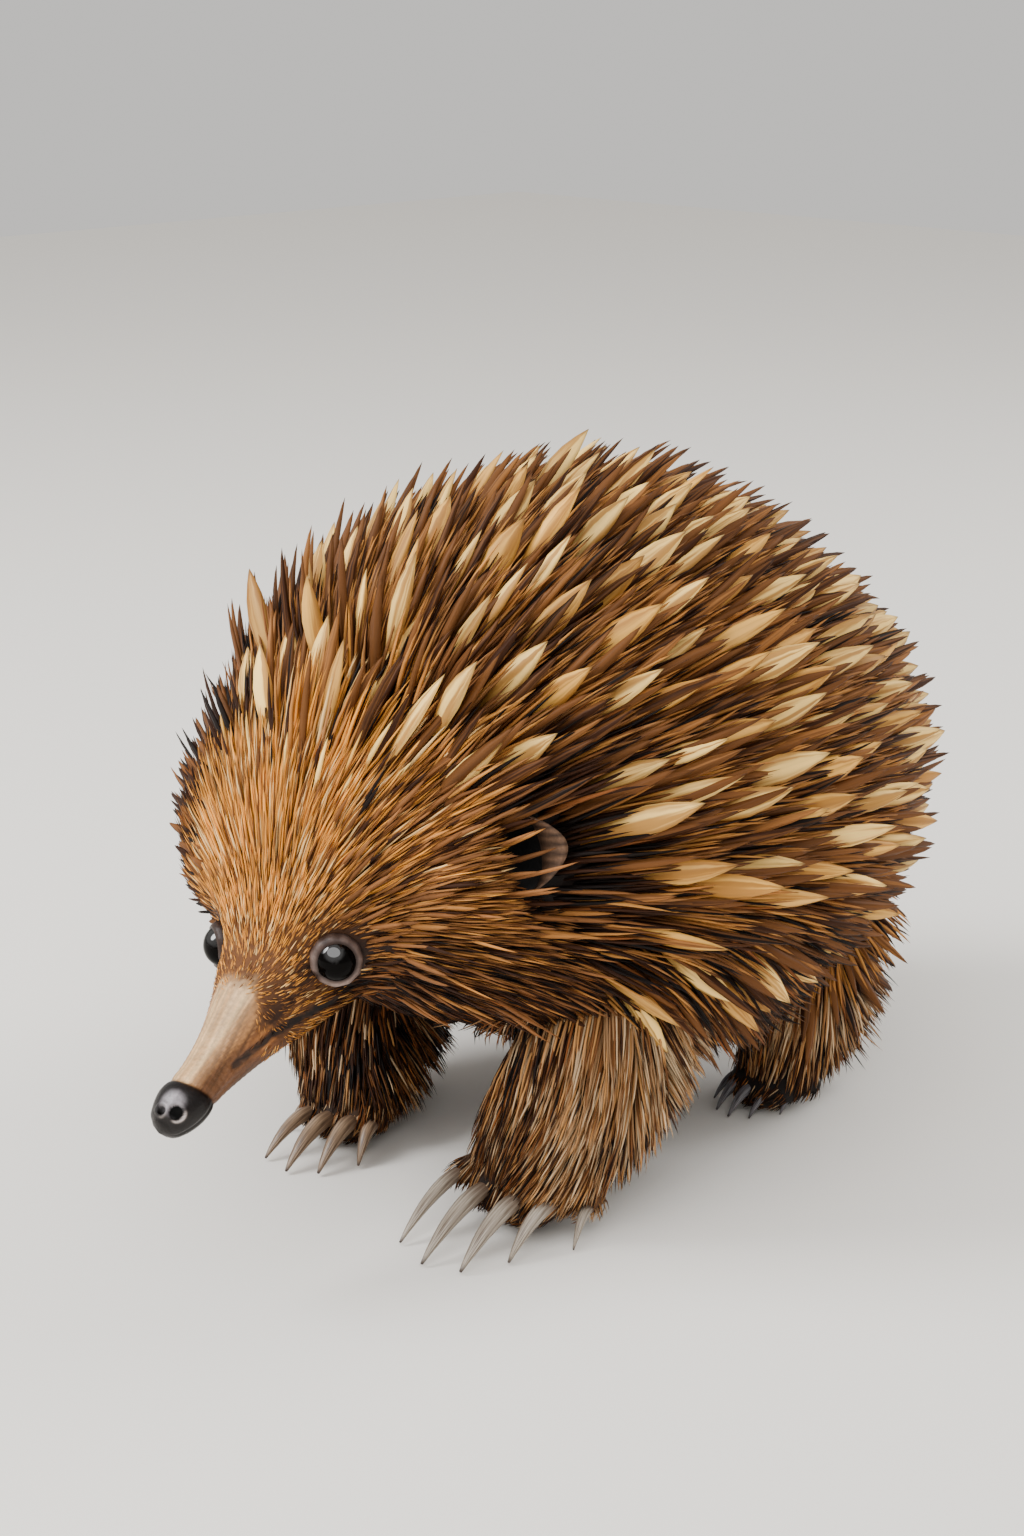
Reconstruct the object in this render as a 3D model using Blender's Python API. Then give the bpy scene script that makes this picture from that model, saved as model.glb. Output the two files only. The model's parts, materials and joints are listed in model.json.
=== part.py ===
"""A short-beaked echidna at life size, standing still with its beak lowered.

Metres, +Z up. The animal looks along -Y and its left side is at +X. The origin lies on the floor,
under the middle of the bounding box. Flesh is made of lofts through named cross-sections. The trunk
and the head are one form parted by a thin cut, and each part of the body is one closed solid that
meets its neighbours with a small gap. Spines and locks of fur are fused to the flesh they grow from.
"""

import math
import random

import bmesh
import bpy
import numpy as np
from mathutils import Matrix, Vector
from mathutils.bvhtree import BVHTree

MM = 0.001
GAP = 0.3
# The tables below stand on the floor under the shoulders. This step takes them to the middle.
TO_MIDDLE = (0.5, 3.8, 0.0)

# Cross-sections in millimetres: x, y, z of the middle, half width, height above it, depth below it.
# The trunk runs from rump to neck, the head from neck to nose, a leg from its root to its toes.
TRUNK = (
    (0, 159, 116, 9, 8, 9),
    (0, 154, 118, 31, 25, 30),
    (0, 137, 123, 55, 50, 55),
    (0, 110, 128, 77, 77, 78),
    (0, 70, 131, 96, 101, 91),
    (0, 22, 134, 106, 113, 91),
    (0, -28, 137, 105, 108, 80),
    (0, -68, 140, 94, 92, 65),
    (0, -94, 143, 79, 74, 58),
    (0, -112, 146, 56, 54, 44),
    (0, -121, 149, 18, 18, 16),
)
HEAD = (
    (-3, -52, 138, 52, 50, 50),
    (-4.5, -72, 135, 72, 65, 57),
    (-5.5, -90, 132, 75, 65, 55),
    (-4.5, -108, 124.5, 64, 51, 47),
    (-0.8, -128, 112, 39.5, 29.5, 31),
    (2.2, -140, 103.4, 26.5, 18, 25),
    (4.6, -150.5, 96.6, 17.4, 12.6, 20.5),
    (7.6, -164.5, 88, 11.2, 8.6, 14),
    (10, -178, 80.2, 8.4, 7, 10.2),
    (11.8, -188.5, 73.8, 8.8, 7.9, 8.6),
    (12.6, -195, 70, 6.4, 6, 6),
)
FORELEG = (
    (54, -36, 118, 18, 18, 18),
    (65, -39, 94, 27, 30, 26),
    (67, -43, 68, 29, 32, 24),
    (62, -49, 45, 27, 30, 22),
    (56, -57, 27, 25, 23, 19),
    (52, -65, 17.5, 24, 15, 18),
    (52, -72, 13, 22, 11, 15),
    (51.5, -77, 10, 17, 7, 11),
)
# The right foreleg stands further back, and its foot turns inwards.
FORELEG_RIGHT = (
    (-54, -30, 118, 18, 18, 18),
    (-66, -32, 94, 26, 28, 28),
    (-71, -35, 68, 27, 29, 28),
    (-68, -40, 45, 25, 26, 25),
    (-59, -49, 27, 23, 20, 20),
    (-49, -61, 16, 22, 15, 17),
    (-44, -71, 11, 20, 10, 13),
    (-42, -77, 9, 15, 6.5, 10),
)
HINDLEG = (
    (46, 90, 110, 20, 24, 24),
    (54, 88, 88, 25, 31, 31),
    (58, 86, 62, 24, 28, 28),
    (58, 84, 41, 20, 22, 22),
    (56, 81, 25, 18, 18, 19),
    (55, 74, 14, 17, 12, 15),
    (54, 66, 10.5, 16, 8, 12),
    (54, 61, 8.5, 11, 5.5, 9),
)
TAIL = (
    (0, 144, 96, 15, 12, 12),
    (0, 155, 90, 14, 11, 11),
    (0, 165, 83, 11, 9, 9),
    (0, 173, 76, 7, 6, 6),
    (0, 177, 71, 3, 2.5, 2.5),
)
# The right hind leg stands this far behind the left one, as in a slow walk.
HIND_STEP = 14

# The head is parted from the trunk by a sloping plane through this place.
NECK_PLACE = (0, -122, 190)
NECK_SLOPE = 0.38
BEAK_ROOT = (4.6, -150.5, 96.6)

# Claws of each foot, from the inner side out: root, tip, half width.
FORE_CLAWS = (
    ((30.8, -74.4, 16), (35.1, -111.2, 1.3), 2.9),
    ((46.4, -77, 16), (51.9, -116.3, 1.3), 3.5),
    ((60.9, -74.8, 16), (65.7, -110.5, 1.3), 3.6),
    ((71.9, -69.3, 16), (73, -93.8, 1.3), 3.1),
    ((78, -57, 11), (83, -71, 1.3), 2.0),
)
FORE_CLAWS_RIGHT = (
    ((-29, -66, 11), (-20.5, -82, 1.3), 2.9),
    ((-33.5, -71, 13), (-26.5, -97, 1.3), 3.5),
    ((-42, -75, 13), (-36.5, -104.5, 1.3), 3.6),
    ((-52, -75, 12), (-50.5, -103, 1.3), 3.1),
    ((-60, -66, 10), (-64, -80, 1.3), 2.2),
)
HIND_CLAWS = (
    ((42, 74, 9), (37, 60, 1.2), 2.0),
    ((47.5, 69, 10.5), (44.7, 52.5, 1.2), 2.5),
    ((55, 67, 10.5), (52, 51, 1.2), 2.5),
    ((61.5, 70, 10), (59, 55.5, 1.2), 2.2),
    ((68, 77, 9), (65.5, 67, 1.2), 1.9),
)
CLAW_ARCH = 4.0
TOE_BACK = 9.0

EYE_RADIUS = 8.0
EYE_ROOT = (0.6, -133.7, 110.0)
EYE_SIDEWAYS = 27.2
EYE_UP = 1.2
EYE_ROLL = -3.2
EYE_LOOK = (0.74, 0.58, 0.34)
EYE_SIDES = (12, 8)
LID_SKIN = 1.4
LID_OPENING = (7.0, 7.3, 7.0)
LID_OUT = 8.2

EAR_PLACE = (79.5, -93, 157.5)
EAR_LOOK = (0.86, -0.42, 0.28)
EAR_SIZE = (6.5, 4.8, 11.0)
EAR_SKIN = 1.2
EAR_HOLLOW = 4.8
EAR_BARE = 14

BEAK_RINGS = 21
NOSE_MIDDLE = (12, -190.5, 72.6)
NOSTRIL_WAY = (0.46, -0.62, 0.42)
NOSTRIL_OUT = 8.0
NOSE_TURN = 0.26
NOSTRIL_SIZE = (2.5, 1.5, 1.9)
MOUTH_DROP = 3.2
MOUTH_OPEN = 0.9
MOUTH_LONG = 34
MOUTH_WIDE = 28
MOUTH_DEPTH = 1.1

# Spines lean back from this place in the face, and stand this steeply off the skin.
FACE = (0, -123, 125)
SPINE_SPACING = 16.7
SPINE_LENGTH = (37, 48)
SPINE_HALF = (2.3, 3.1)
SPINE_NECK = 0.8
SPINE_FLAT = 0.85
SPINE_ROOT = 9.0
SPINE_LIFT = (30, 42)
SPINE_SWAY = 5
SPINE_FLOOR = 54
SPINE_FRONT = 4
SPINE_SIDE = 0.19
SPINE_UNDER = -0.75
LOCK_UNDER = -0.93
# Locks of fur: how far apart, length, half width, half thickness, how deep they are rooted.
TRUNK_LOCKS = (17.0, 30, 5.0, 1.3, 4.0)
LEG_LOCKS = (15.0, 25, 4.8, 1.1, 3.0)
LOCK_FRONT = 10
LOCK_LIFT = 7.0
LOWEST_TIP = 2.0
# How far spines and locks keep from other parts, and how many steps of a section are tried.
CLEARANCE = 0.7
CLEAR_STEPS = 8
SEED = 11


def smooth_rows(rows, steps):
    """The rows' numbers read at the given steps along a Catmull-Rom curve through them."""
    table = np.array(rows, float)
    padded = np.vstack([2 * table[0] - table[1], table, 2 * table[-1] - table[-2]])
    along = np.linspace(0, len(table) - 1, steps)
    start = np.minimum(along.astype(int), len(table) - 2)
    t = (along - start)[:, None]
    a, b, c, d = (padded[start + k] for k in range(4))
    return 0.5 * (2 * b + (c - a) * t + (2 * a - 5 * b + 4 * c - d) * t**2 + (3 * b - a - 3 * c + d) * t**3)


def frames(centres):
    """The way along a path at each of its points, and the two ways across it: to the left, and up."""
    along = np.gradient(centres, axis=0)
    along /= np.linalg.norm(along, axis=1, keepdims=True)
    left = np.array([1.0, 0, 0]) - along * along[:, :1]
    left /= np.linalg.norm(left, axis=1, keepdims=True)
    return along, left, np.cross(along, left)


def section_rings(rows, rings, sides, grow):
    """Points of the loft through the rows' oval sections, and the tips of its two end caps."""
    table = smooth_rows(rows, rings)
    centres, half = table[:, :3], np.maximum(table[:, 3:] + grow, 0.05)
    along, left, up = frames(centres)
    turn = np.arange(sides) * 2 * math.pi / sides
    across = half[:, :1] * np.cos(turn)
    rise = np.where(np.sin(turn) > 0, half[:, 1:2], half[:, 2:3]) * np.sin(turn)
    points = centres[:, None] + across[..., None] * left[:, None] + rise[..., None] * up[:, None]
    reach = half[[0, -1]].mean(axis=1) * 0.5 + grow
    ends = centres[[0, -1]] + along[[0, -1]] * (reach * [-1, 1])[:, None]
    return points, ends


def loft(name, rows, rings, sides, grow=0.0):
    """A closed skin through the rows' oval sections, grown outwards by grow millimetres."""
    points, ends = section_rings(rows, rings, sides, grow)
    bm = bmesh.new()
    verts = [[bm.verts.new(p * MM) for p in ring] for ring in points]
    caps = [bm.verts.new(p * MM) for p in ends]
    for k in range(sides):
        nxt = (k + 1) % sides
        for low, high in zip(verts, verts[1:]):
            bm.faces.new((low[k], low[nxt], high[nxt], high[k]))
        bm.faces.new((caps[0], verts[0][nxt], verts[0][k]))
        bm.faces.new((caps[1], verts[-1][k], verts[-1][nxt]))
    bmesh.ops.triangulate(bm, faces=bm.faces[:], quad_method="FIXED")
    return as_object(name, bm)


def as_object(name, bm):
    bmesh.ops.recalc_face_normals(bm, faces=bm.faces[:])
    mesh = bpy.data.meshes.new(name)
    bm.to_mesh(mesh)
    bm.free()
    obj = bpy.data.objects.new(name, mesh)
    echidna.objects.link(obj)
    return obj


def ellipsoid(name, place, look, size, segments, rings):
    """A sphere stretched to size, whose own X turns to look."""
    bm = bmesh.new()
    bmesh.ops.create_uvsphere(bm, u_segments=segments, v_segments=rings, radius=1.0)
    turn = Vector(look).to_track_quat("X", "Z").to_matrix().to_4x4()
    stretch = Matrix.Diagonal((*size, 1.0))
    bmesh.ops.transform(bm, verts=bm.verts, matrix=Matrix.Translation(place) @ turn @ stretch)
    bmesh.ops.scale(bm, verts=bm.verts, vec=(MM, MM, MM))
    return as_object(name, bm)


def boolean(obj, others, operation, solver="EXACT"):
    """Applies one Boolean between obj and the other objects, which are then removed."""
    pieces = bpy.data.collections.new("pieces")
    bpy.context.scene.collection.children.link(pieces)
    for other in others:
        echidna.objects.unlink(other)
        pieces.objects.link(other)
    modifier = obj.modifiers.new("join", "BOOLEAN")
    modifier.operation = operation
    modifier.solver = solver
    modifier.operand_type = "COLLECTION"
    modifier.collection = pieces
    graph = bpy.context.evaluated_depsgraph_get()
    made = bpy.data.meshes.new_from_object(obj.evaluated_get(graph), depsgraph=graph)
    obj.modifiers.clear()
    obj.data = made
    for other in others:
        bpy.data.objects.remove(other)
    bpy.data.collections.remove(pieces)
    return obj


def keep_largest(obj):
    """Drops every closed surface of the object but the one with the most volume."""
    bm = bmesh.new()
    bm.from_mesh(obj.data)
    bmesh.ops.triangulate(bm, faces=bm.faces[:])
    left, shells = set(bm.faces), []
    while left:
        shell, front = set(), [left.pop()]
        while front:
            face = front.pop()
            shell.add(face)
            near = {other for edge in face.edges for other in edge.link_faces if other in left}
            left -= near
            front.extend(near)
        shells.append(shell)
    shells.sort(key=lambda faces: abs(sum(signed_volume(face) for face in faces)))
    loose = [face for shell in shells[:-1] for face in shell]
    bmesh.ops.delete(bm, geom=loose, context="FACES")
    bm.to_mesh(obj.data)
    bm.free()
    return obj


def signed_volume(face):
    a, b, c = (vert.co for vert in face.verts)
    return a.cross(b).dot(c)


def sliced(obj, place, normal):
    """Keeps what lies on the side of a plane that the normal points away from, and closes the cut."""
    bm = bmesh.new()
    bm.from_mesh(obj.data)
    cut = bmesh.ops.bisect_plane(
        bm,
        geom=bm.verts[:] + bm.edges[:] + bm.faces[:],
        plane_co=Vector(place) * MM,
        plane_no=Vector(normal),
        clear_outer=True,
    )
    edges = [part for part in cut["geom_cut"] if isinstance(part, bmesh.types.BMEdge)]
    bmesh.ops.holes_fill(bm, edges=edges)
    bmesh.ops.recalc_face_normals(bm, faces=bm.faces[:])
    bm.to_mesh(obj.data)
    bm.free()
    return obj


def surface(rows, rings, sides):
    """Places spread finely over a loft, and the way out of its skin at each, in millimetres."""
    points, _ = section_rings(rows, rings, sides, 0.0)
    down = np.gradient(points, axis=0)
    around = (np.roll(points, -1, axis=1) - np.roll(points, 1, axis=1)) / 2
    out = np.cross(around, down)
    out /= np.linalg.norm(out, axis=2, keepdims=True) + 1e-9
    middle = points.mean(axis=1, keepdims=True)
    out *= np.sign(((points - middle) * out).sum(axis=2, keepdims=True))
    return points.reshape(-1, 3), out.reshape(-1, 3)


def scatter(places, ways, allowed, spacing, draw):
    """Picks places that are allowed and at least the spacing apart, in a shuffled order."""
    picked = []
    order = list(np.flatnonzero(allowed))
    draw.shuffle(order)
    chosen = np.empty((0, 3))
    for k in order:
        if len(chosen) == 0 or ((chosen - places[k]) ** 2).sum(axis=1).min() > spacing**2:
            chosen = np.vstack([chosen, places[k]])
            picked.append((Vector(places[k]), Vector(ways[k])))
    return picked


def along_skin(way, out):
    """The part of a way that runs along the skin."""
    way = Vector(way)
    return (way - out * way.dot(out)).normalized()


def tapered(name, path, halves, thicks, out):
    """A closed four-sided form along a path, with a point at its end: a spine, or a flat lock.

    Each section but the last has its half width and its half thickness.
    """
    bm = bmesh.new()
    rings = []
    for k, (half, thick) in enumerate(zip(halves, thicks)):
        ahead = (path[k + 1] - path[max(k - 1, 0)]).normalized()
        side = ahead.cross(out).normalized()
        rise = side.cross(ahead)
        corners = (side * half, rise * thick, -side * half, -rise * thick)
        rings.append([bm.verts.new((path[k] + corner) * MM) for corner in corners])
    tip = bm.verts.new(path[-1] * MM)
    bm.faces.new(rings[0])
    for k in range(4):
        nxt = (k + 1) % 4
        for low, high in zip(rings, rings[1:]):
            bm.faces.new((low[k], low[nxt], high[nxt], high[k]))
        bm.faces.new((rings[-1][k], rings[-1][nxt], tip))
    return as_object(name, bm)


def neighbours_tree(objects):
    """The surfaces of some finished parts, to keep spines and locks clear of them."""
    verts, faces = [], []
    for obj in objects:
        start = len(verts)
        verts += [vert.co / MM for vert in obj.data.vertices]
        faces += [[start + k for k in face.vertices] for face in obj.data.polygons]
    return BVHTree.FromPolygons(verts, faces)


def is_inside(tree, place):
    """Whether a place lies inside a neighbour: a ray upwards from it then meets an odd number of faces."""
    hits = 0
    start = place
    while True:
        near, _, _, _ = tree.ray_cast(start, Vector((0, 0, 1)))
        if near is None:
            return hits % 2 == 1
        hits += 1
        start = near + Vector((0, 0, 0.01))


def is_clear(tree, path, halves):
    """Whether a form along a path stays outside the neighbours, with the gap between them."""
    if is_inside(tree, path[0]):
        return False
    for a, b, half_a, half_b in zip(path, path[1:], halves, halves[1:] + [0.0]):
        for k in range(CLEAR_STEPS + 1):
            t = k / CLEAR_STEPS
            _, _, _, distance = tree.find_nearest(a.lerp(b, t))
            if distance < half_a + (half_b - half_a) * t + CLEARANCE:
                return False
    return True


def spine(name, root, out, tree, draw):
    """One spine: a straight spindle that leans back from the face. Near a neighbour it stands up."""
    lie = along_skin(root - Vector(FACE), out)
    droop = max(0.0, (150 - root.z) / 90) * 0.6
    lie = along_skin(lie - Vector((0, 0, droop)), out)
    lie = Matrix.Rotation(math.radians(draw.uniform(-SPINE_SWAY, SPINE_SWAY)), 3, out) @ lie
    length, half = draw.uniform(*SPINE_LENGTH), draw.uniform(*SPINE_HALF)
    lift = draw.uniform(*SPINE_LIFT)
    for extra, share in ((0, 1), (12, 1), (24, 0.9), (36, 0.75)):
        way = lie * math.cos(math.radians(lift + extra)) + out * math.sin(math.radians(lift + extra))
        start = root - way * SPINE_ROOT
        path = [start, start + way * length * share * 0.5, start + way * length * share]
        above = [root - way * half / 2, *path[1:]]
        if path[-1].z > LOWEST_TIP and is_clear(tree, above, [half, half]):
            halves = [half * SPINE_NECK, half]
            return tapered(name, path, halves, [h * SPINE_FLAT for h in halves], out)
    return None


def lock(name, root, out, lie, sizes, draw, tree):
    """One flat lock of fur, rooted in the flesh, that rises off it and bends back to its lie."""
    _, length, half, thick, sunk = sizes
    length *= draw.uniform(0.8, 1.15)
    half *= draw.uniform(0.85, 1.1)
    lift = LOCK_LIFT * draw.uniform(0.7, 1.2)
    way = Matrix.Rotation(math.radians(draw.uniform(-9, 9)), 3, out) @ lie
    path = [
        root - out * sunk,
        root + way * length * 0.35 + out * lift * 0.55,
        root + way * length * 0.72 + out * lift * 0.95,
        root + way * length + out * lift,
    ]
    halves = [half * 0.8, half, half * 0.7]
    above = [root + out * GAP, *path[1:]]
    if path[-1].z < LOWEST_TIP or not is_clear(tree, above, [half, half, half * 0.7]):
        return None
    return tapered(name, path, halves, [thick] * 3, out)


def fused(obj, pieces):
    """The object with its spines and locks joined to it. There are too many for the exact solver."""
    return keep_largest(boolean(obj, [piece for piece in pieces if piece], "UNION", "MANIFOLD"))


def mirrored(rows, step):
    """A left leg's rows turned into the right leg's, which stands step millimetres further back."""
    return tuple((-row[0], row[1] + step, *row[2:]) for row in rows)


def mirrored_claws(claws, step):
    return tuple((*mirrored((root, tip), step), half) for root, tip, half in claws)


def claw_rows(root, tip, half):
    """A claw's sections: broad near its root, arched along its length, and thin at its tip."""
    root, tip = Vector(root), Vector(tip)
    table = []
    for t, wide in ((0, 0.85), (0.3, 1.0), (0.6, 0.8), (0.85, 0.45), (1.0, 0.16)):
        middle = root.lerp(tip, t) + Vector((0, 0, CLAW_ARCH * 4 * t * (1 - t)))
        table.append((*middle, half * wide, half * wide * 0.8, half * wide * 0.7))
    return table


def toe(name, root, tip, half, grow):
    """The fleshy toe that a claw grows from."""
    root, tip = Vector(root), Vector(tip)
    back = (root - tip).normalized() * TOE_BACK
    rows = []
    for t, wide in ((1.0, 1.5), (0.45, 1.6), (0.0, 1.35), (-0.45, 0.95)):
        middle = root + back * t + Vector((0, 0, 1.0))
        rows.append((*middle, half * wide, half * wide * 0.9, half * wide * 1.3))
    return loft(name, rows, 4, 6, grow)


def leg_flesh(name, rows, claws, grow):
    """A leg with its paw and toes, flat underneath where it stands on the floor."""
    leg = loft(name, rows, 11, 12, grow)
    boolean(leg, [toe(f"{name}_toe", *claw, grow) for claw in claws], "UNION")
    return sliced(leg, (0, 0, -grow), (0, 0, -1))


def body_flesh(name, grow):
    """The trunk and the head as one form, before they are parted."""
    body = loft(name, TRUNK, 16, 22, grow)
    return boolean(body, [loft("head_form", HEAD, 21, 16, grow)], "UNION")


def make_leg(name, rows, claws, draw):
    leg = leg_flesh(name, rows, claws, 0.0)
    boolean(leg, [body_flesh("body_cutter", GAP)], "DIFFERENCE")
    keep_largest(leg)
    pieces = []
    for number, claw in enumerate(claws, 1):
        piece = loft(f"{name}_claw_{number}", claw_rows(*claw), 5, 5)
        boolean(piece, [leg_flesh("leg_cutter", rows, claws, GAP)], "DIFFERENCE")
        pieces.append(dress(keep_largest(piece), "claw"))
    places, ways = surface(rows, 60, 60)
    body = body_flesh("body_guide", 0.0)
    tree = neighbours_tree([*pieces, body])
    bpy.data.objects.remove(body)
    allowed = (places[:, 2] > 20) & (places[:, 2] < 92)
    locks = []
    for root, out in scatter(places, ways, allowed, LEG_LOCKS[0], draw):
        lie = along_skin((0, 0.25, -1), out)
        locks.append(lock(f"{name}_lock", root, out, lie, LEG_LOCKS, draw, tree))
    return dress(fused(leg, locks), "coat")


def neck_cut(obj, side):
    """Parts the flesh at the neck and keeps the trunk, where side is 1, or the head, where it is -1."""
    way = Vector((0, 1, NECK_SLOPE)).normalized() * side
    return sliced(obj, Vector(NECK_PLACE) + way * GAP / 2, -way)


def make_trunk(neighbours, draw):
    """The trunk with its dome of spines, and the locks of fur below them and at the neck."""
    trunk = neck_cut(body_flesh("trunk", 0.0), 1)
    tree = neighbours_tree(neighbours)
    places, ways = surface(TRUNK, 240, 200)
    behind = places[:, 1] - NECK_PLACE[1] + NECK_SLOPE * (places[:, 2] - NECK_PLACE[2])
    spiny = (behind > SPINE_FRONT + SPINE_SIDE * np.abs(places[:, 0])) & (places[:, 2] > SPINE_FLOOR)
    spiny &= ways[:, 2] > SPINE_UNDER
    furry = (behind > LOCK_FRONT) & ~spiny & (ways[:, 2] > LOCK_UNDER)
    for side in (1, -1):
        ear = np.array([side * EAR_PLACE[0], *EAR_PLACE[1:]])
        bare = np.linalg.norm(places - ear, axis=1) < EAR_BARE
        spiny, furry = spiny & ~bare, furry & ~bare
    pieces = []
    for root, out in scatter(places, ways, spiny, SPINE_SPACING, draw):
        pieces.append(spine("spine", root, out, tree, draw))
    for root, out in scatter(places, ways, furry, TRUNK_LOCKS[0], draw):
        lie = along_skin((0, 0.7, -0.7), out)
        pieces.append(lock("trunk_lock", root, out, lie, TRUNK_LOCKS, draw, tree))
    return dress(fused(trunk, pieces), "spine")


def eye_place(side):
    """The middle of an eyeball and the way that it looks, as the head is turned and tilted."""
    ahead = (Vector(BEAK_ROOT) - Vector(EYE_ROOT)).normalized()
    left = along_skin((1, 0, 0), ahead)
    left = Matrix.Rotation(math.radians(-EYE_ROLL), 3, ahead) @ left
    up = ahead.cross(left)
    place = Vector(EYE_ROOT) + left * side * EYE_SIDEWAYS + up * EYE_UP
    look = left * side * EYE_LOOK[0] + ahead * EYE_LOOK[1] + up * EYE_LOOK[2]
    return place, look.normalized()


def beak_way():
    """The way along the beak at its root, and the way up from it."""
    along, _, up = frames(np.array(HEAD, float)[:, :3])
    row = [row[:3] for row in HEAD].index(BEAK_ROOT)
    return Vector(along[row]), Vector(up[row])


def make_head():
    """The furry head from the neck to the root of the beak, with lids round both eyes."""
    way, _ = beak_way()
    head = neck_cut(body_flesh("head", 0.0), -1)
    sliced(head, Vector(BEAK_ROOT) - way * GAP / 2, way)
    lids, openings = [], []
    for side in (1, -1):
        place, look = eye_place(side)
        lids.append(ellipsoid("lids", place, look, (EYE_RADIUS + LID_SKIN,) * 3, 16, 10))
        openings.append(ellipsoid("socket", place, look, (EYE_RADIUS + GAP,) * 3, *EYE_SIDES))
        openings.append(ellipsoid("opening", place + look * LID_OUT, look, LID_OPENING, 14, 8))
    boolean(head, lids, "UNION")
    boolean(head, openings, "DIFFERENCE")
    return dress(keep_largest(head), "coat")


def make_beak():
    """The bare beak with its nose bulb, two nostrils, and a mouth whose line runs round its tip."""
    way, up = beak_way()
    beak = sliced(loft("beak", HEAD, BEAK_RINGS, 16), Vector(BEAK_ROOT) + way * GAP / 2, -way)
    nostrils = []
    for side in (1, -1):
        out = Vector((side * NOSTRIL_WAY[0] + NOSE_TURN, NOSTRIL_WAY[1], NOSTRIL_WAY[2])).normalized()
        place = Vector(NOSE_MIDDLE) + out * NOSTRIL_OUT
        nostrils.append(ellipsoid("nostril", place, out, NOSTRIL_SIZE, 8, 6))
    boolean(beak, nostrils, "DIFFERENCE")
    tip = Vector(HEAD[-1][:3])
    forward = (tip - Vector(HEAD[-4][:3])).normalized()
    middle = tip - forward * MOUTH_LONG * 0.35 - up * MOUTH_DROP
    mouth = ellipsoid("mouth", middle, forward, (MOUTH_LONG / 2, MOUTH_WIDE / 2, MOUTH_OPEN / 2), 16, 6)
    boolean(mouth, [loft("mouth_floor", HEAD, BEAK_RINGS, 16, -MOUTH_DEPTH)], "DIFFERENCE")
    boolean(beak, [mouth], "DIFFERENCE")
    return dress(keep_largest(beak), "beak")


def make_eye(name, side):
    place, look = eye_place(side)
    return dress(ellipsoid(name, place, look, (EYE_RADIUS,) * 3, *EYE_SIDES), "eye")


def ear_cup(name, side, grow, out=0.0):
    """The oval form of an ear, grown by grow and moved out by out millimetres."""
    look = Vector((side * EAR_LOOK[0], EAR_LOOK[1], EAR_LOOK[2])).normalized()
    place = Vector((side * EAR_PLACE[0], EAR_PLACE[1], EAR_PLACE[2])) + look * out
    return ellipsoid(name, place, look, [half + grow for half in EAR_SIZE], 10, 6)


def make_ear(name, side):
    """The cup of an ear, a curved leaf of skin open to the front and side."""
    ear = ear_cup(name, side, 0.0)
    boolean(ear, [ear_cup("hollow", side, -EAR_SKIN, EAR_HOLLOW)], "DIFFERENCE")
    boolean(ear, [body_flesh("body_cutter", GAP)], "DIFFERENCE")
    return dress(keep_largest(ear), "ear")


def make_tail():
    tail = loft("tail", TAIL, 7, 10)
    boolean(tail, [body_flesh("body_cutter", GAP)], "DIFFERENCE")
    return dress(keep_largest(tail), "coat")


FINISHES = {
    "coat": ((0.20, 0.11, 0.055), 0.85),
    "spine": ((0.62, 0.44, 0.24), 0.55),
    "beak": ((0.33, 0.24, 0.19), 0.5),
    "claw": ((0.42, 0.36, 0.30), 0.4),
    "eye": ((0.01, 0.008, 0.007), 0.05),
    "ear": ((0.14, 0.08, 0.05), 0.7),
}


def dress(obj, finish):
    """Gives a piece its own material, in the colour and roughness of its finish."""
    colour, rough = FINISHES[finish]
    material = bpy.data.materials.new(f"{obj.name}_{finish}")
    material.use_nodes = True
    shader = material.node_tree.nodes["Principled BSDF"]
    shader.inputs["Base Color"].default_value = (*colour, 1)
    shader.inputs["Roughness"].default_value = rough
    obj.data.materials.clear()
    obj.data.materials.append(material)
    obj.data.shade_smooth()
    return obj


LEGS = {
    "foreleg_left": (FORELEG, FORE_CLAWS),
    "foreleg_right": (FORELEG_RIGHT, FORE_CLAWS_RIGHT),
    "hindleg_left": (HINDLEG, HIND_CLAWS),
    "hindleg_right": (mirrored(HINDLEG, HIND_STEP), mirrored_claws(HIND_CLAWS, HIND_STEP)),
}

for old in list(bpy.data.objects):
    bpy.data.objects.remove(old)
echidna = bpy.data.collections.new("echidna")
bpy.context.scene.collection.children.link(echidna)
bpy.context.view_layer.active_layer_collection = bpy.context.view_layer.layer_collection.children["echidna"]

shuffle = random.Random(SEED)
grown = [make_head(), make_beak(), make_tail()]
for word, side in (("left", 1), ("right", -1)):
    make_eye(f"eye_{word}", side)
    grown.append(make_ear(f"ear_{word}", side))
for leg_name, (leg_rows, leg_claws) in LEGS.items():
    grown.append(make_leg(leg_name, leg_rows, leg_claws, shuffle))
make_trunk(grown, shuffle)
for piece in echidna.objects:
    piece.data.transform(Matrix.Translation(Vector(TO_MIDDLE) * MM))
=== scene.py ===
"""The looks of a standing echidna: one skin under fur and spines, with its eyes, claws and bare beak.

The solids' frame is kept: metres, +Z up, the animal looks along -Y and its left side is at +X.
The tables and sizes below are millimetres. Each shape is worked out as whole arrays of points.
"""
import json
import math

import bmesh
import bpy
import numpy as np
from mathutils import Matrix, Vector
from mathutils.kdtree import KDTree

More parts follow.
